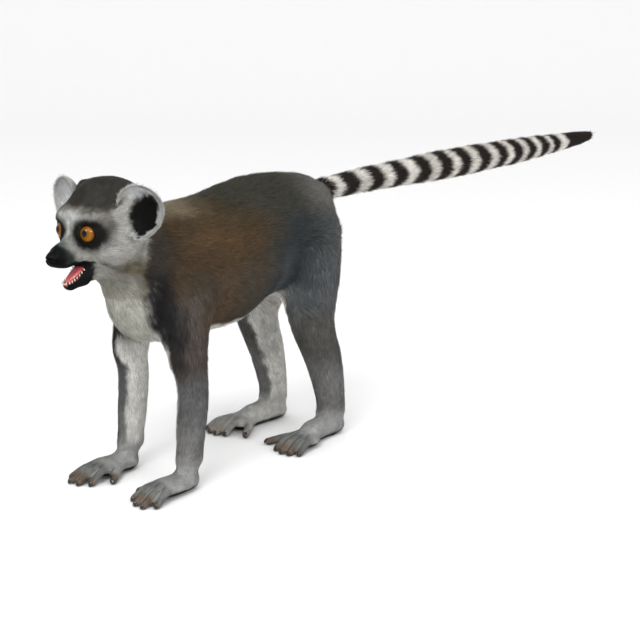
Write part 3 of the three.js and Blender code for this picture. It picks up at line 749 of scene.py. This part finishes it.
def ball_angles(rings, spokes):
    """Angles from pole to pole and around, ring by ring, with the two poles last."""
    theta = np.linspace(0, math.pi, rings + 2)[1:-1]
    phi = np.arange(spokes) * 2 * math.pi / spokes
    theta, phi = [v.ravel() for v in np.meshgrid(theta, phi, indexing="ij")]
    return np.append(theta, (0, math.pi)), np.append(phi, (0, 0))


def ball_points(rings, spokes):
    """x, y and z on a ball of radius 1, its poles at the front and the back."""
    theta, phi = ball_angles(rings, spokes)
    return np.sin(theta) * np.cos(phi), -np.cos(theta), np.sin(theta) * np.sin(phi)


def ring_faces(rings, spokes):
    """Triangles over rings of points that are closed by two poles, which come last."""
    a = np.arange(spokes)
    b = (a + 1) % spokes
    faces = []
    for start in range(0, (rings - 1) * spokes, spokes):
        u, v = a + start, b + start
        faces += [np.stack([u, v, v + spokes], 1), np.stack([u, v + spokes, u + spokes], 1)]
    end, pole = (rings - 1) * spokes, rings * spokes
    faces.append(np.stack([b, a, np.full(spokes, pole)], 1))
    faces.append(np.stack([end + a, end + b, np.full(spokes, pole + 1)], 1))
    return np.concatenate(faces)


def ear_surface(side):
    x, y, z = ball_points(EAR_RINGS, EAR_SPOKES)
    lift = np.abs(y)
    back = EAR_RADII[1] * (lift - 0.4) - 0.5
    front = EAR_RADII[1] * (lift - 0.4) - 1.1 - 3.4 * lift
    fold = np.exp(-((np.hypot(x, z) - 0.70) / 0.07) ** 2) * step(-0.5, 0.1, z)
    lobe = np.exp(-((x + 0.25) ** 2 + (z + 0.62) ** 2) / 0.02)
    front = front - 1.0 * fold - 1.6 * lobe
    wide = (EAR_RADII[0] - EAR_COAT) * (1 + EAR_FLARE * z)
    tall = (EAR_RADII[2] - EAR_COAT) * np.where(z < 0, 1 - 0.12 * z * z, 1)
    q = np.stack([x * wide, np.where(y < 0, front, back), z * tall], 1)
    return ear_place(q) * [side, 1, 1], ring_faces(EAR_RINGS, EAR_SPOKES)


def outward(p, t):
    """Turns all faces of a closed surface outward."""
    a, b, c = p[t[:, 0]], p[t[:, 1]], p[t[:, 2]]
    volume = np.einsum("ij,ij->i", a, np.cross(b, c)).sum()
    return t if volume > 0 else t[:, ::-1]


parts = [body_surface(), ear_surface(1), ear_surface(-1)]
is_ear = np.concatenate([np.full(len(q), i > 0) for i, (q, _) in enumerate(parts)])
offset = np.cumsum([0] + [len(q) for q, _ in parts])
skin_p = np.concatenate([q for q, _ in parts])
skin_t = np.concatenate([outward(q, f) + offset[i] for i, (q, f) in enumerate(parts)])
skin = new_mesh("skin", skin_p, skin_t)


def vertex_normals(obj):
    n = np.empty(len(obj.data.vertices) * 3, np.float32)
    obj.data.vertex_normals.foreach_get("vector", n)
    return n.reshape(-1, 3).astype(float)


skin_n = vertex_normals(skin)

# The dark patch inside the ear, as its reach in each direction from its middle.
PATCH_ANGLES = [-150, -115, -98, -72, -39, -4, 25, 40, 61, 78, 91, 120, 167]
PATCH_REACH = [0.66, 0.62, 0.64, 0.72, 0.64, 0.68, 0.65, 0.69, 0.77, 0.80, 0.80, 0.62, 0.55]


def coloured(p, n, ear):
    """Colour and wetness of points of the body or of an ear."""
    c, w = markings(p, n), wetness(p)
    q = ear_local(p[ear])
    edge = np.hypot(q[:, 0], q[:, 2])
    rough = noise(p[ear], 3.0, 8)
    e = np.tile(EAR_WHITE, (len(q), 1))
    front = n[ear, 1] < 0.25
    u, v = q[:, 0] - 0.05, q[:, 2] + 0.08
    limit = np.interp(np.degrees(np.arctan2(v, u)), PATCH_ANGLES, PATCH_REACH, period=360)
    share = np.hypot(v, u) / limit + 0.12 * rough
    soft = np.interp(q[:, 0], [-0.5, 0.2], [0.46, 0.16])
    far_side = np.where(p[ear, 0] < 0, step(-0.1, -0.4, q[:, 0]), 1)
    e = mix(e, EAR_BLACK, front * far_side * np.clip((1.04 - share) / soft + 0.5, 0, 1))
    e = mix(e, EAR_RIM, step(0.84, 0.93, edge + 0.03 * rough) * step(-0.5, 0.1, q[:, 0]))
    e = mix(e, EAR_BASE, step(-0.5, -0.85, q[:, 0] + 0.1 * rough))
    c[ear] = e
    w[ear] = 0
    return c, w


skin_c, skin_w = coloured(skin_p, skin_n, is_ear)
add_attribute(skin, "Coat", "FLOAT_COLOR", np.c_[linear(skin_c), np.ones(len(skin_p))])
add_attribute(skin, "Wet", "FLOAT", skin_w)


# ---- materials
def fix(node, constants):
    for key, value in dict(constants).items():
        node.inputs[key].default_value = value


def put(tree, kind, x, y, constants=(), **settings):
    """A node at (x, y) in the tree, with its settings and its inputs' constants."""
    node = tree.nodes.new(kind)
    node.location = (x, y)
    for key, value in settings.items():
        setattr(node, key, value)
    fix(node, constants)
    return node


def join(tree, *links):
    """Links outputs to inputs: each link is (node, output, node, input)."""
    for a, output, b, entry in links:
        tree.links.new(a.outputs[output], b.inputs[entry])


def ramp(tree, x, y, stops):
    node = put(tree, "ShaderNodeValToRGB", x, y)
    ends = node.color_ramp.elements
    while len(ends) < len(stops):
        ends.new(0.5)
    for end, (place, colour) in zip(ends, stops):
        end.position = place
        end.color = (*linear(np.array(colour, float)), 1)
    return node


def new_material(name, constants):
    """A material, its node tree and its Principled shader with these constants."""
    mat = bpy.data.materials.new(name)
    mat.use_nodes = True
    shader = mat.node_tree.nodes["Principled BSDF"]
    fix(shader, {"IOR": 1.45, **constants})
    return mat, mat.node_tree, shader


def coat_group():
    """Coat colour with a fine salt-and-pepper grain, and a height for the nap."""
    group = bpy.data.node_groups.new("coat_tone", "ShaderNodeTree")
    for name, way, kind in (("Colour", "INPUT", "Color"), ("Grain", "INPUT", "Float"),
                            ("Colour", "OUTPUT", "Color"), ("Height", "OUTPUT", "Float")):
        group.interface.new_socket(name, in_out=way, socket_type="NodeSocket" + kind)
    enter = put(group, "NodeGroupInput", -800, 0)
    leave = put(group, "NodeGroupOutput", 400, 0)
    place = put(group, "ShaderNodeTexCoord", -1000, -300)
    fine = put(group, "ShaderNodeTexNoise", -800, -200, {"Scale": 900, "Detail": 3})
    broad = put(group, "ShaderNodeTexNoise", -800, -500, {"Scale": 160, "Detail": 2})
    total = put(group, "ShaderNodeMath", -550, -300, operation="ADD")
    centred = put(group, "ShaderNodeMath", -380, -300, {1: 1.0}, operation="SUBTRACT")
    scaled = put(group, "ShaderNodeMath", -200, -250, {2: 1.0}, operation="MULTIPLY_ADD")
    tone = put(group, "ShaderNodeVectorMath", 100, 50, operation="SCALE")
    join(group, (place, "Object", fine, "Vector"), (place, "Object", broad, "Vector"),
         (fine, "Fac", total, 0), (broad, "Fac", total, 1), (total, 0, centred, 0),
         (centred, 0, scaled, 0), (enter, "Grain", scaled, 1), (enter, "Colour", tone, 0),
         (scaled, 0, tone, "Scale"), (tone, 0, leave, "Colour"), (total, 0, leave, "Height"))
    return group


def coat_material(name, constants, grain):
    mat, tree, shader = new_material(name, constants)
    colour = put(tree, "ShaderNodeAttribute", -700, 100, attribute_name="Coat")
    tone = put(tree, "ShaderNodeGroup", -450, 100, node_tree=tone_group)
    tone.inputs["Grain"].default_value = grain
    join(tree, (colour, "Color", tone, "Colour"), (tone, "Colour", shader, "Base Color"))
    return mat, tree, shader, tone


def skin_material():
    mat, tree, shader, tone = coat_material("coated_skin", {"Specular IOR Level": 0.05}, 0.5)
    wet = put(tree, "ShaderNodeAttribute", -700, -300, attribute_name="Wet")
    rough = put(tree, "ShaderNodeMapRange", -450, -300, {"To Min": 0.78, "To Max": 0.42})
    soft = put(tree, "ShaderNodeBump", -250, -350, {"Strength": 0.35, "Distance": 0.0006})
    join(tree, (wet, "Fac", rough, "Value"), (rough, "Result", shader, "Roughness"),
         (tone, "Height", soft, "Height"), (soft, "Normal", shader, "Normal"))
    return mat


tone_group = coat_group()
finish_piece(skin, skin_material())
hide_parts(*FLESH, "left_ear", "right_ear")


# ---- lie of the coat
# Lines that the coat follows, each from its first point to its last.
ROUTES = [
    [(0, -246, 252), (0, -232, 264), (0, -222, 282), (0, -205, 300), (0, -180, 315), (0, -150, 303),
     (0, -125, 288), (0, -95, 284), (0, -40, 288), (0, 20, 297), (0, 80, 297), (0, 125, 292), (0, 160, 284)],
    [(8, -240, 258), (14, -229, 282), (20, -210, 297), (27, -190, 303), (26, -165, 298), (30, -135, 275),
     (34, -100, 268), (38, -40, 270), (40, 20, 276), (36, 80, 280), (22, 130, 284)],
    [(8, -243, 250), (17, -226, 248), (30, -205, 248), (38, -182, 248), (40, -158, 238), (42, -130, 225)],
    [(26, -214, 272), (34, -200, 275), (38, -178, 268), (38, -150, 256), (44, -120, 240)],
    [(0, -226, 216), (0, -200, 214), (0, -178, 208), (0, -168, 190), (0, -155, 160), (0, -120, 140),
     (0, -50, 143), (0, 20, 152), (0, 70, 168), (0, 100, 185)],
    [(8, -226, 222), (18, -205, 224), (28, -182, 222), (30, -164, 204), (28, -154, 175), (26, -135, 150)],
    [(36, -150, 236), (42, -122, 218), (40, -112, 190), (42, -116, 150)],
    [(44, -100, 236), (50, -40, 236), (52, 20, 238), (46, 80, 245), (34, 122, 262), (18, 152, 276)],
    [(40, -80, 205), (42, -30, 184), (44, 20, 178), (44, 58, 160)],
    [(20, -80, 160), (22, -20, 156), (24, 30, 160), (30, 62, 158)],
    [(44, -118, 140), (44, -115, 100), (44, -120, 60), (44, -130, 34), (46, -146, 22), (48, -166, 15)],
    [(44, 60, 235), (46, 66, 190), (44, 72, 134), (44, 88, 88), (44, 96, 48), (46, 78, 28), (50, 54, 18),
     (53, 34, 14)],
    [(30, 112, 250), (42, 108, 200), (44, 96, 140), (44, 108, 88), (44, 113, 46), (44, 114, 8)],
    [(14, 80, 215), (16, 72, 180), (30, 74, 130), (30, 88, 88), (31, 96, 44)],
    [(12, 132, 262), (12, 134, 236), (20, 118, 205)],
    [(0, 150, 279), (0, 300, 276), (0, 500, 280), (0, 640, 286), (0, 775, 291)],
    [(47, -182, 262), (60, -184, 270), (72, -186, 290), (70, -184, 308)],
    [(30, -176, 290), (42, -180, 300), (58, -184, 312)],
]
ROUTES += [[tuple(j[:3]) for j in joints] for joints in list(FINGERS.values()) + list(TOES.values())]


def laid(way, n):
    """The way laid along the surface whose normal is n."""
    return unit(way - (way * n).sum(1)[:, None] * n)


def flow(p, n):
    """The way the tufts lie at each point, along the surface."""
    a = folded(p)
    total = np.zeros_like(a)
    near = np.full(len(a), 1e9)
    legs = [(np.array(s, float), np.array(e, float)) for r in ROUTES for s, e in zip(r, r[1:])]
    gaps = []
    for s, e in legs:
        along = np.clip((a - s) @ (e - s) / ((e - s) @ (e - s)), 0, 1)
        gap = np.linalg.norm(a - s - along[:, None] * (e - s), axis=1)
        gaps.append(gap)
        near = np.minimum(near, gap)
    for gap, (s, e) in zip(gaps, legs):
        total += np.exp(-(gap - near) / 6)[:, None] * unit(e - s)
    r = a - EYE
    fan = unit(r - (r @ GAZE)[:, None] * GAZE)
    close = step(21, 11, np.linalg.norm(r, axis=1))[:, None]
    total = unit(total) * (1 - close) + (fan + [0, 0.25, 0.1]) * close
    total[:, 0] *= np.where(p[:, 0] < 0, -1, 1)
    total[:, 0] += 0.02
    return laid(total, n)


def ear_flow(p, n):
    """Tufts on an ear run from its base to the rim."""
    q = ear_local(p)
    way = np.stack([q[:, 0] + 0.35, np.zeros(len(q)), q[:, 2] + 0.9], 1)
    way = swing(way, 0, 2, EAR_LEAN)
    way[:, 0] *= np.where(p[:, 0] < 0, -1, 1)
    return laid(way, n)


def turned(v, n, angle):
    """v turned about n, row by row."""
    return v * np.cos(angle)[:, None] + np.cross(n, v) * np.sin(angle)[:, None]


# Length, width and number per square millimetre of the tufts on each region.
TUFTS = {"body": (15, 0.62, 0.95), "limb": (9, 0.5, 1.5), "head": (7, 0.36, 3.0), "face": (3.6, 0.27, 5.5),
         "muzzle": (2.2, 0.24, 8.0), "paw": (3.4, 0.30, 3.2), "tail": (14, 0.55, 1.2),
         "ear": (4.6, 0.30, 4.0)}


def tuft_plan(p, ear):
    """The tufts' length, width and number per square millimetre at each point."""
    a = folded(p)
    y, z = a[:, 1], a[:, 2]
    near_eye = step(23, 14, away(a, EYE))
    layers = [
        ("limb", step(168, 120, z) * (y < 150)),
        ("limb", 0.5 * step(-120, -150, y) * (z > 168)),
        ("paw", step(42, 22, z)),
        ("head", step(-150, -168, y) * step(205, 222, z)),
        ("face", np.maximum(step(-206, -224, y), near_eye) * (z > 205)),
        ("muzzle", step(-228, -238, y) * (z > 205)),
        ("tail", step(140, 170, y)),
    ]
    plan = np.tile(np.array(TUFTS["body"]), (len(p), 1))
    for kind, weight in layers:
        plan = mix(plan, np.array(TUFTS[kind]), weight)
    plan[:, 0] *= np.where(y > 500, 1 - 0.35 * along_tail(y), 1)
    plan[ear] = TUFTS["ear"]
    return plan


def bareness(p, n, ear):
    """1 where no tuft grows: nose, lips, mouth, lids, eye sockets, soles."""
    a = folded(p)
    y, z = a[:, 1], a[:, 2]
    mouth = step(2.2, 1.2, gape(a)) * (y < -206)
    gums = step(2.0, 1.0, trough(a)) * (y < -205)
    lids = step(EYE_RADIUS + 2.2, EYE_RADIUS + 1.6, away(a, EYE))
    on_head = (z > 200) & (y < -170)
    bare = on_head * np.maximum.reduce([on_nose(y, z), mouth, gums, lids])
    bare = np.maximum(bare, step(-0.35, -0.6, n[:, 2]) * (z < 9))
    bare[ear] = 0
    return bare


skin_flow = flow(skin_p, skin_n)
skin_flow[is_ear] = ear_flow(skin_p[is_ear], skin_n[is_ear])
skin_plan = tuft_plan(skin_p, is_ear)
skin_bare = bareness(skin_p, skin_n, is_ear)

only(skin)
bpy.ops.object.mode_set(mode="EDIT")
bpy.ops.mesh.select_all(action="SELECT")
bpy.ops.uv.smart_project(angle_limit=math.radians(66), island_margin=0.002)
bpy.ops.object.mode_set(mode="OBJECT")
skin.data.uv_layers.active.name = "OFBake"
skin_uv = np.empty(len(skin_t) * 6, np.float32)
skin.data.uv_layers.active.data.foreach_get("uv", skin_uv)
skin_uv = skin_uv.reshape(-1, 3, 2)
PATCH = 0.003  # a tuft's patch on the unwrap


def grow(name, chosen, count):
    """One coat piece: count tufts of three triangles over the chosen faces of the skin."""
    t = skin_t[chosen]
    a, b, c = skin_p[t[:, 0]], skin_p[t[:, 1]], skin_p[t[:, 2]]
    area = np.linalg.norm(np.cross(b - a, c - a), axis=1) / 2
    weight = area * skin_plan[t, 2].mean(1) * (1 - skin_bare[t].mean(1))
    face = rng.choice(len(t), size=count, p=weight / weight.sum())
    u, v = rng.random(count), rng.random(count)
    over = u + v > 1
    u[over], v[over] = 1 - u[over], 1 - v[over]
    share = np.stack([1 - u - v, u, v], 1)

    def at(values):
        return np.einsum("ij,ij...->i...", share, values[t[face]])

    root, n, plan = at(skin_p), unit(at(skin_n)), at(skin_plan)
    ear = is_ear[t[face, 0]]
    swirl = 0.24 * noise(root, 22.0, 21) + 0.20 * noise(root, 7.0, 22) + rng.normal(0, 0.16, count)
    way = turned(laid(at(skin_flow), n), n, swirl)
    side = np.cross(n, way)
    tall = np.where(ear, 0.8, np.maximum(depth(root), 0.3))
    lift = 1 + 0.16 * noise(root, 6.0, 23) + rng.normal(0, 0.12, count)
    length = plan[:, 0] * (1 + rng.normal(0, 0.16, count)).clip(0.5, 1.5)
    width = plan[:, 1] * (1 + rng.normal(0, 0.2, count)).clip(0.5, 1.6)

    def spot_at(high, far):
        """A point of each tuft, kept at its height over the body's curve."""
        spot = root + way * far[:, None] + n * high[:, None]
        gap = high[~ear] - body(spot[~ear])
        spot[~ear] += n[~ear] * gap.clip(-3, 6)[:, None]
        return spot

    mid, tip = spot_at(0.72 * tall * lift, 0.5 * length), spot_at(tall * lift, length)
    sag = width[:, None] * side
    p = np.stack([root - 0.5 * sag - 0.25 * n, root + 0.5 * sag - 0.25 * n,
                  mid + 0.45 * sag, mid - 0.45 * sag, tip], 1)
    p[:, :, 2] = np.maximum(p[:, :, 2], 0.15)
    fan = 0.35 * side
    normal = unit(np.stack([n - fan, n + fan, n + fan, n - fan, n], 1) - 0.18 * way[:, None]
                  + rng.normal(0, 0.05, (count, 1, 3)))
    corner = np.array([[0, 2, 1], [0, 3, 2], [3, 4, 2]])
    faces = (np.arange(count)[:, None, None] * 5 + corner).reshape(-1, 3)
    piece = new_mesh(name, p.reshape(-1, 3), faces)
    c = coloured(root + 0.5 * way * length[:, None], n, ear)[0]
    shade = 1 + rng.normal(0, 0.09, count) + 0.07 * noise(root, 4.0, 24)
    # Each tuft is painted darker at its root and a little lighter at its tip: painted shade among the roots
    # and painted light on the tips.
    root_shade = np.array([0.80, 0.80, 0.98, 0.98, 1.06])
    c = linear(np.clip(c * shade[:, None], 0, 1))[:, None] * root_shade[:, None]
    c = np.concatenate([c, np.ones((count, 5, 1))], 2).reshape(-1, 4)
    add_attribute(piece, "Coat", "FLOAT_COLOR", c)
    middle = np.einsum("ij,ijk->ik", share, skin_uv[chosen][face])
    patch = PATCH * np.array([[-0.5, -0.5], [0.5, -0.5], [0.5, 0.0], [-0.5, 0.0], [0.0, 0.5]])
    uv = (middle[:, None] + patch)[:, corner]
    layer = piece.data.uv_layers.new(name="OFBake")
    layer.data.foreach_set("uv", uv.astype(np.float32).ravel())
    piece.data.normals_split_custom_set_from_vertices(normal.reshape(-1, 3).tolist())
    return piece


on_ear = is_ear[skin_t[:, 0]]
my, mz = skin_p[skin_t].mean(1).T[1:]
high_head, head_y, chest_y, waist_y, tail_y = mz > 205, -150, -70, 40, 150
elbow, ankle = 168, 40
REGIONS = [
    ("coat_ears", "coat_pale", on_ear, 28000),
    ("coat_face", "coat_pale", ~on_ear & (my < -196) & high_head, 42000),
    ("coat_head", "coat_pale", ~on_ear & (my >= -196) & (my < head_y) & high_head, 54000),
    ("coat_neck", "coat_grey",
     ~on_ear & (((my >= head_y) & high_head) | (mz <= 205)) & (my < chest_y) & (mz > elbow), 48000),
    ("coat_flanks", "coat_grey", (my >= chest_y) & (my < waist_y) & (mz > 130), 54000),
    ("coat_rump", "coat_grey", (my >= waist_y) & (my < tail_y) & (mz > 140), 48000),
    ("coat_arms", "coat_grey", (my < chest_y) & (mz <= elbow) & (mz > ankle), 50000),
    ("coat_legs", "coat_grey", (my > 0) & (my < tail_y) & (mz <= 140) & (mz > ankle), 50000),
    ("coat_hands", "coat_pale", (my < chest_y) & (mz <= ankle), 30000),
    ("coat_feet", "coat_pale", (my > 0) & (mz <= ankle), 34000),
    ("coat_tail", "coat_ringed", my >= tail_y, 54000),
]
fur = coat_material("fur", {"Roughness": 0.62, "Specular IOR Level": 0.10}, 0.35)[0]
for name, slot_name, chosen, count in REGIONS:
    piece = grow(name, chosen, count)
    finish_piece(piece, fur)


# ---- eyes
def eye_material():
    """Amber iris with fine spokes and a round pupil, under a clear wet coat."""
    mat, tree, shader = new_material("amber_eye", {
        "Roughness": 0.28, "Specular IOR Level": 0.02,
        "Coat Weight": 0.5, "Coat Roughness": 0.16, "Coat IOR": 1.376})
    gaze = put(tree, "ShaderNodeAttribute", -1100, 0, attribute_name="Gaze")
    split = put(tree, "ShaderNodeSeparateXYZ", -900, 0)
    spokes = put(tree, "ShaderNodeTexNoise", -900, -250, {"Scale": 9, "Detail": 4})
    shifted = put(tree, "ShaderNodeMath", -650, 0, {1: 0.07}, operation="MULTIPLY_ADD")
    iris = ramp(tree, -420, 0, [
        (0.00, (0.01, 0.01, 0.01)), (0.225, (0.01, 0.01, 0.01)), (0.25, (0.22, 0.11, 0.01)),
        (0.38, (0.46, 0.28, 0.00)), (0.66, (0.54, 0.35, 0.00)), (0.84, (0.40, 0.23, 0.00)),
        (1.00, (0.16, 0.08, 0.01))])
    join(tree, (gaze, "Vector", split, 0), (gaze, "Vector", spokes, "Vector"), (spokes, "Fac", shifted, 0),
         (split, "Z", shifted, 2), (shifted, 0, iris, 0), (iris, "Color", shader, "Base Color"))
    return mat


def make_eye(name, side, material):
    """A ball with a slight cornea, its rings laid round the line of sight."""
    theta, phi = ball_angles(47, 64)
    across = unit(np.cross(SIGHT, (0, 0, 1)))
    up = np.cross(across, SIGHT)
    radius = EYE_RADIUS + 0.35 * np.exp(-(theta / math.radians(30)) ** 2)
    out = (np.cos(theta)[:, None] * SIGHT + (np.sin(theta) * np.cos(phi))[:, None] * across
           + (np.sin(theta) * np.sin(phi))[:, None] * up)
    p = (EYE + radius[:, None] * out) * [side, 1, 1]
    eye = new_mesh(name, p, outward(p, ring_faces(47, 64)))
    share = theta / math.radians(70) - 0.035
    add_attribute(eye, "Gaze", "FLOAT_VECTOR", np.stack([np.cos(phi), np.sin(phi), share], 1))
    finish_piece(eye, material)
    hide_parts(name.replace("eyeball", "eye"))


amber = eye_material()
make_eye("left_eyeball", 1, amber)
make_eye("right_eyeball", -1, amber)


# ---- mouth, nails
def lathe_row(profile, spokes=10):
    """Points and faces of a closed solid of revolution about z; profile runs from tip to base."""
    phi = np.arange(spokes) * 2 * math.pi / spokes
    rings = [np.stack([r * np.cos(phi), r * np.sin(phi), np.full(spokes, z)], 1) for r, z in profile]
    tip = [0, 0, profile[0][1] + profile[0][0] * 0.4]
    return np.concatenate([*rings, [tip, [0, 0, profile[-1][1]]]]), ring_faces(len(profile), spokes)


def joined(parts):
    """Points and faces of several closed meshes as one, each turned outward."""
    offset = np.cumsum([0] + [len(q) for q, _ in parts])
    faces = [outward(q, f) + start for start, (q, f) in zip(offset, parts)]
    return np.concatenate([q for q, _ in parts]), np.concatenate(faces)


def simple_material(name, colour, roughness, coat, scale=400):
    """One colour with a fine grain in tone and height."""
    mat, tree, shader = new_material(name, {"Roughness": roughness, "Specular IOR Level": 0.4,
                                            "Coat Weight": coat, "Coat Roughness": 0.12})
    place = put(tree, "ShaderNodeTexCoord", -900, 0)
    spots = put(tree, "ShaderNodeTexNoise", -700, 0, {"Scale": scale, "Detail": 3})
    colour, grain = np.array(colour), 0.12
    tone = ramp(tree, -450, 100, [(0.3, colour * (1 - grain)), (0.7, np.minimum(colour * (1 + grain), 1))])
    soft = put(tree, "ShaderNodeBump", -300, -200, {"Strength": 0.3, "Distance": 0.0002})
    join(tree, (place, "Object", spots, "Vector"), (spots, "Fac", tone, 0),
         (tone, "Color", shader, "Base Color"), (spots, "Fac", soft, "Height"),
         (soft, "Normal", shader, "Normal"))
    return mat


def make_teeth():
    """Two rows of small pointed teeth on the lower jaw, and the comb of slim front teeth."""
    parts = []
    profile = [(0.22, 1.75), (0.42, 1.4), (0.62, 0.8), (0.68, 0.1), (0.62, -0.9)]
    for side in (1, -1):
        for share in np.linspace(0, 1, 8):
            x, y = side * (2.9 + 5.3 * share ** 0.55), -234.5 + 17.5 * share
            tall = 1.0 - 0.25 * share
            p, f = lathe_row([(r, z * tall) for r, z in profile])
            leaning = 0.12 * side * p[:, 2].mean()
            parts.append((p + [x + leaning, y, float(jaw_rim(y)) + 0.5], f))
    for k in np.arange(6) - 2.5:
        p, f = lathe_row([(r * 0.6, z * 0.9) for r, z in profile], 8)
        p = np.stack([p[:, 0], p[:, 1] * 0.8 - 0.55 * p[:, 2], p[:, 2]], 1)
        parts.append((p + [0.95 * k, -236.2 + 0.12 * k ** 2, float(jaw_rim(-236.0)) + 0.4], f))
    teeth = new_mesh("teeth", *joined(parts))
    finish_piece(teeth, simple_material("enamel", (0.80, 0.77, 0.70), 0.30, 0.3))


def make_tongue():
    """A soft tongue with a groove down its middle, lying in the lower jaw."""
    x, y, z = ball_points(27, 40)
    width = 5.9 + 0.8 * y
    rise = np.where(z > 0, 3.6 - 1.1 * np.exp(-(x * width / 1.3) ** 2), 4.0)
    q = swing(np.stack([x * width, y * 14.5, z * rise], 1), 2, 1, JAW_SLOPE)
    p = q + [0, -220.5, float(jaw_rim(-220.5)) + 0.6]
    tongue = new_mesh("tongue_flesh", p, outward(p, ring_faces(27, 40)))
    finish_piece(tongue, simple_material("tongue_skin", (0.74, 0.33, 0.34), 0.38, 0.35, 900))
    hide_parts("tongue")


def make_nails():
    """A small dark nail over the end of every digit."""
    parts = []
    for digits in (FINGERS, TOES):
        for joints in digits.values():
            a, b = [np.array(j) for j in slim(joints)[-2:]]
            way = unit(b[:3] - a[:3])
            side = unit(np.cross(way, (0, 0, 1)))
            up = np.cross(side, way)
            u, v = np.meshgrid(np.linspace(-1, 1, 9), np.linspace(0, 1, 9), indexing="ij")
            u, v = u.ravel(), v.ravel()
            wide = b[3] * 0.62 * (1 - 0.45 * v ** 3)
            arch = b[3] * (0.98 - 0.30 * u * u) - b[3] * 0.75 * v ** 2.2
            outer = (b[:3] + (u * wide)[:, None] * side + (b[3] * (0.15 + 1.15 * v))[:, None] * way
                     + arch[:, None] * up)
            inner = outer - 0.7 * up - 0.1 * way
            grid = np.arange(81).reshape(9, 9)
            quad = [grid[:-1, :-1], grid[1:, :-1], grid[1:, 1:], grid[:-1, 1:]]
            q = np.stack([c.ravel() for c in quad], 1)
            top = np.concatenate([q[:, [0, 1, 2]], q[:, [0, 2, 3]]])
            e = np.concatenate([grid[:-1, 0], grid[-1, :-1], grid[:0:-1, -1], grid[0, :0:-1]])
            g = np.roll(e, -1)
            wall = np.concatenate([np.stack([g + 81, e + 81, e], 1), np.stack([g, g + 81, e], 1)])
            f = np.concatenate([top, top[:, ::-1] + 81, wall])
            p = np.concatenate([outer, inner])
            p[:, 2] = np.maximum(p[:, 2], 0.2)
            parts += [(p, f), (p * [-1, 1, 1], f)]
    nails = new_mesh("nails", *joined(parts))
    finish_piece(nails, simple_material("nail_horn", (0.10, 0.085, 0.075), 0.35, 0.3))


make_teeth()
make_tongue()
make_nails()


# ---- studio
def make_floor():
    """A pale floor that curves up into a wall far behind the animal."""
    mat = new_material("paper_sweep", {"Roughness": 0.9, "Specular IOR Level": 0.1,
                                       "Base Color": (0.93, 0.93, 0.93, 1)})[0]
    bend = np.linspace(0, math.pi / 2, 17)
    far, radius = 4.0, 2.0
    out = np.concatenate([[-6], far + radius * np.sin(bend), [far + radius]])
    up = np.concatenate([[0], radius - radius * np.cos(bend), [8]])
    c, s = math.cos(AZIMUTH), math.sin(AZIMUTH)
    rows = [[(w * c - o * s, w * s + o * c, u) for w in (-9, 9)] for o, u in zip(out, up)]
    verts = [v for row in rows for v in row]
    faces = [(2 * i, 2 * i + 1, 2 * i + 3, 2 * i + 2) for i in range(len(rows) - 1)]
    mesh = bpy.data.meshes.new("floor")
    mesh.from_pydata(verts, [], faces)
    mesh.polygons.foreach_set("use_smooth", [True] * len(faces))
    floor = add_object("floor", mesh)
    mesh.materials.append(mat)
    floor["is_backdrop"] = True


def add_lamp(name, place, size, power, target=(0, 0, 0.2)):
    bpy.ops.object.light_add(type="AREA", location=place)
    lamp = bpy.context.active_object
    lamp.name = name
    lamp.data.size = size
    lamp.data.energy = power
    lamp.rotation_euler = (Vector(target) - Vector(place)).to_track_quat("-Z", "Y").to_euler()
    return lamp


AZIMUTH, ELEVATION = math.radians(40.15), math.radians(13.40)
make_floor()
bpy.ops.object.camera_add(location=metres([932.355, -971.300, 464.311]),
                          rotation=(math.pi / 2 - ELEVATION, 0, AZIMUTH))
camera = bpy.context.active_object
camera.data.lens = 72
camera.data.sensor_width = 36
bpy.context.scene.camera = camera
world = bpy.data.worlds.new("studio")
world.use_nodes = True
fix(world.node_tree.nodes["Background"], {"Color": (1, 1, 1, 1), "Strength": 1.0})
bpy.context.scene.world = world
add_lamp("key", (0.6, -1.6, 1.8), 1.0, 22)
add_lamp("fill", (1.8, -0.2, 1.2), 1.2, 8)
# Two small lamps put sparks on the eyes and hardly light the coat.
for name, spot in (("glint_high", [-7, -945, 952]), ("glint_side", [813, -575, 756])):
    lamp = add_lamp(name, metres(spot), 0.22, 7, metres(EYE))
    lamp.visible_diffuse = False
bpy.context.scene.view_settings.view_transform = "Standard"

low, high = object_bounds()
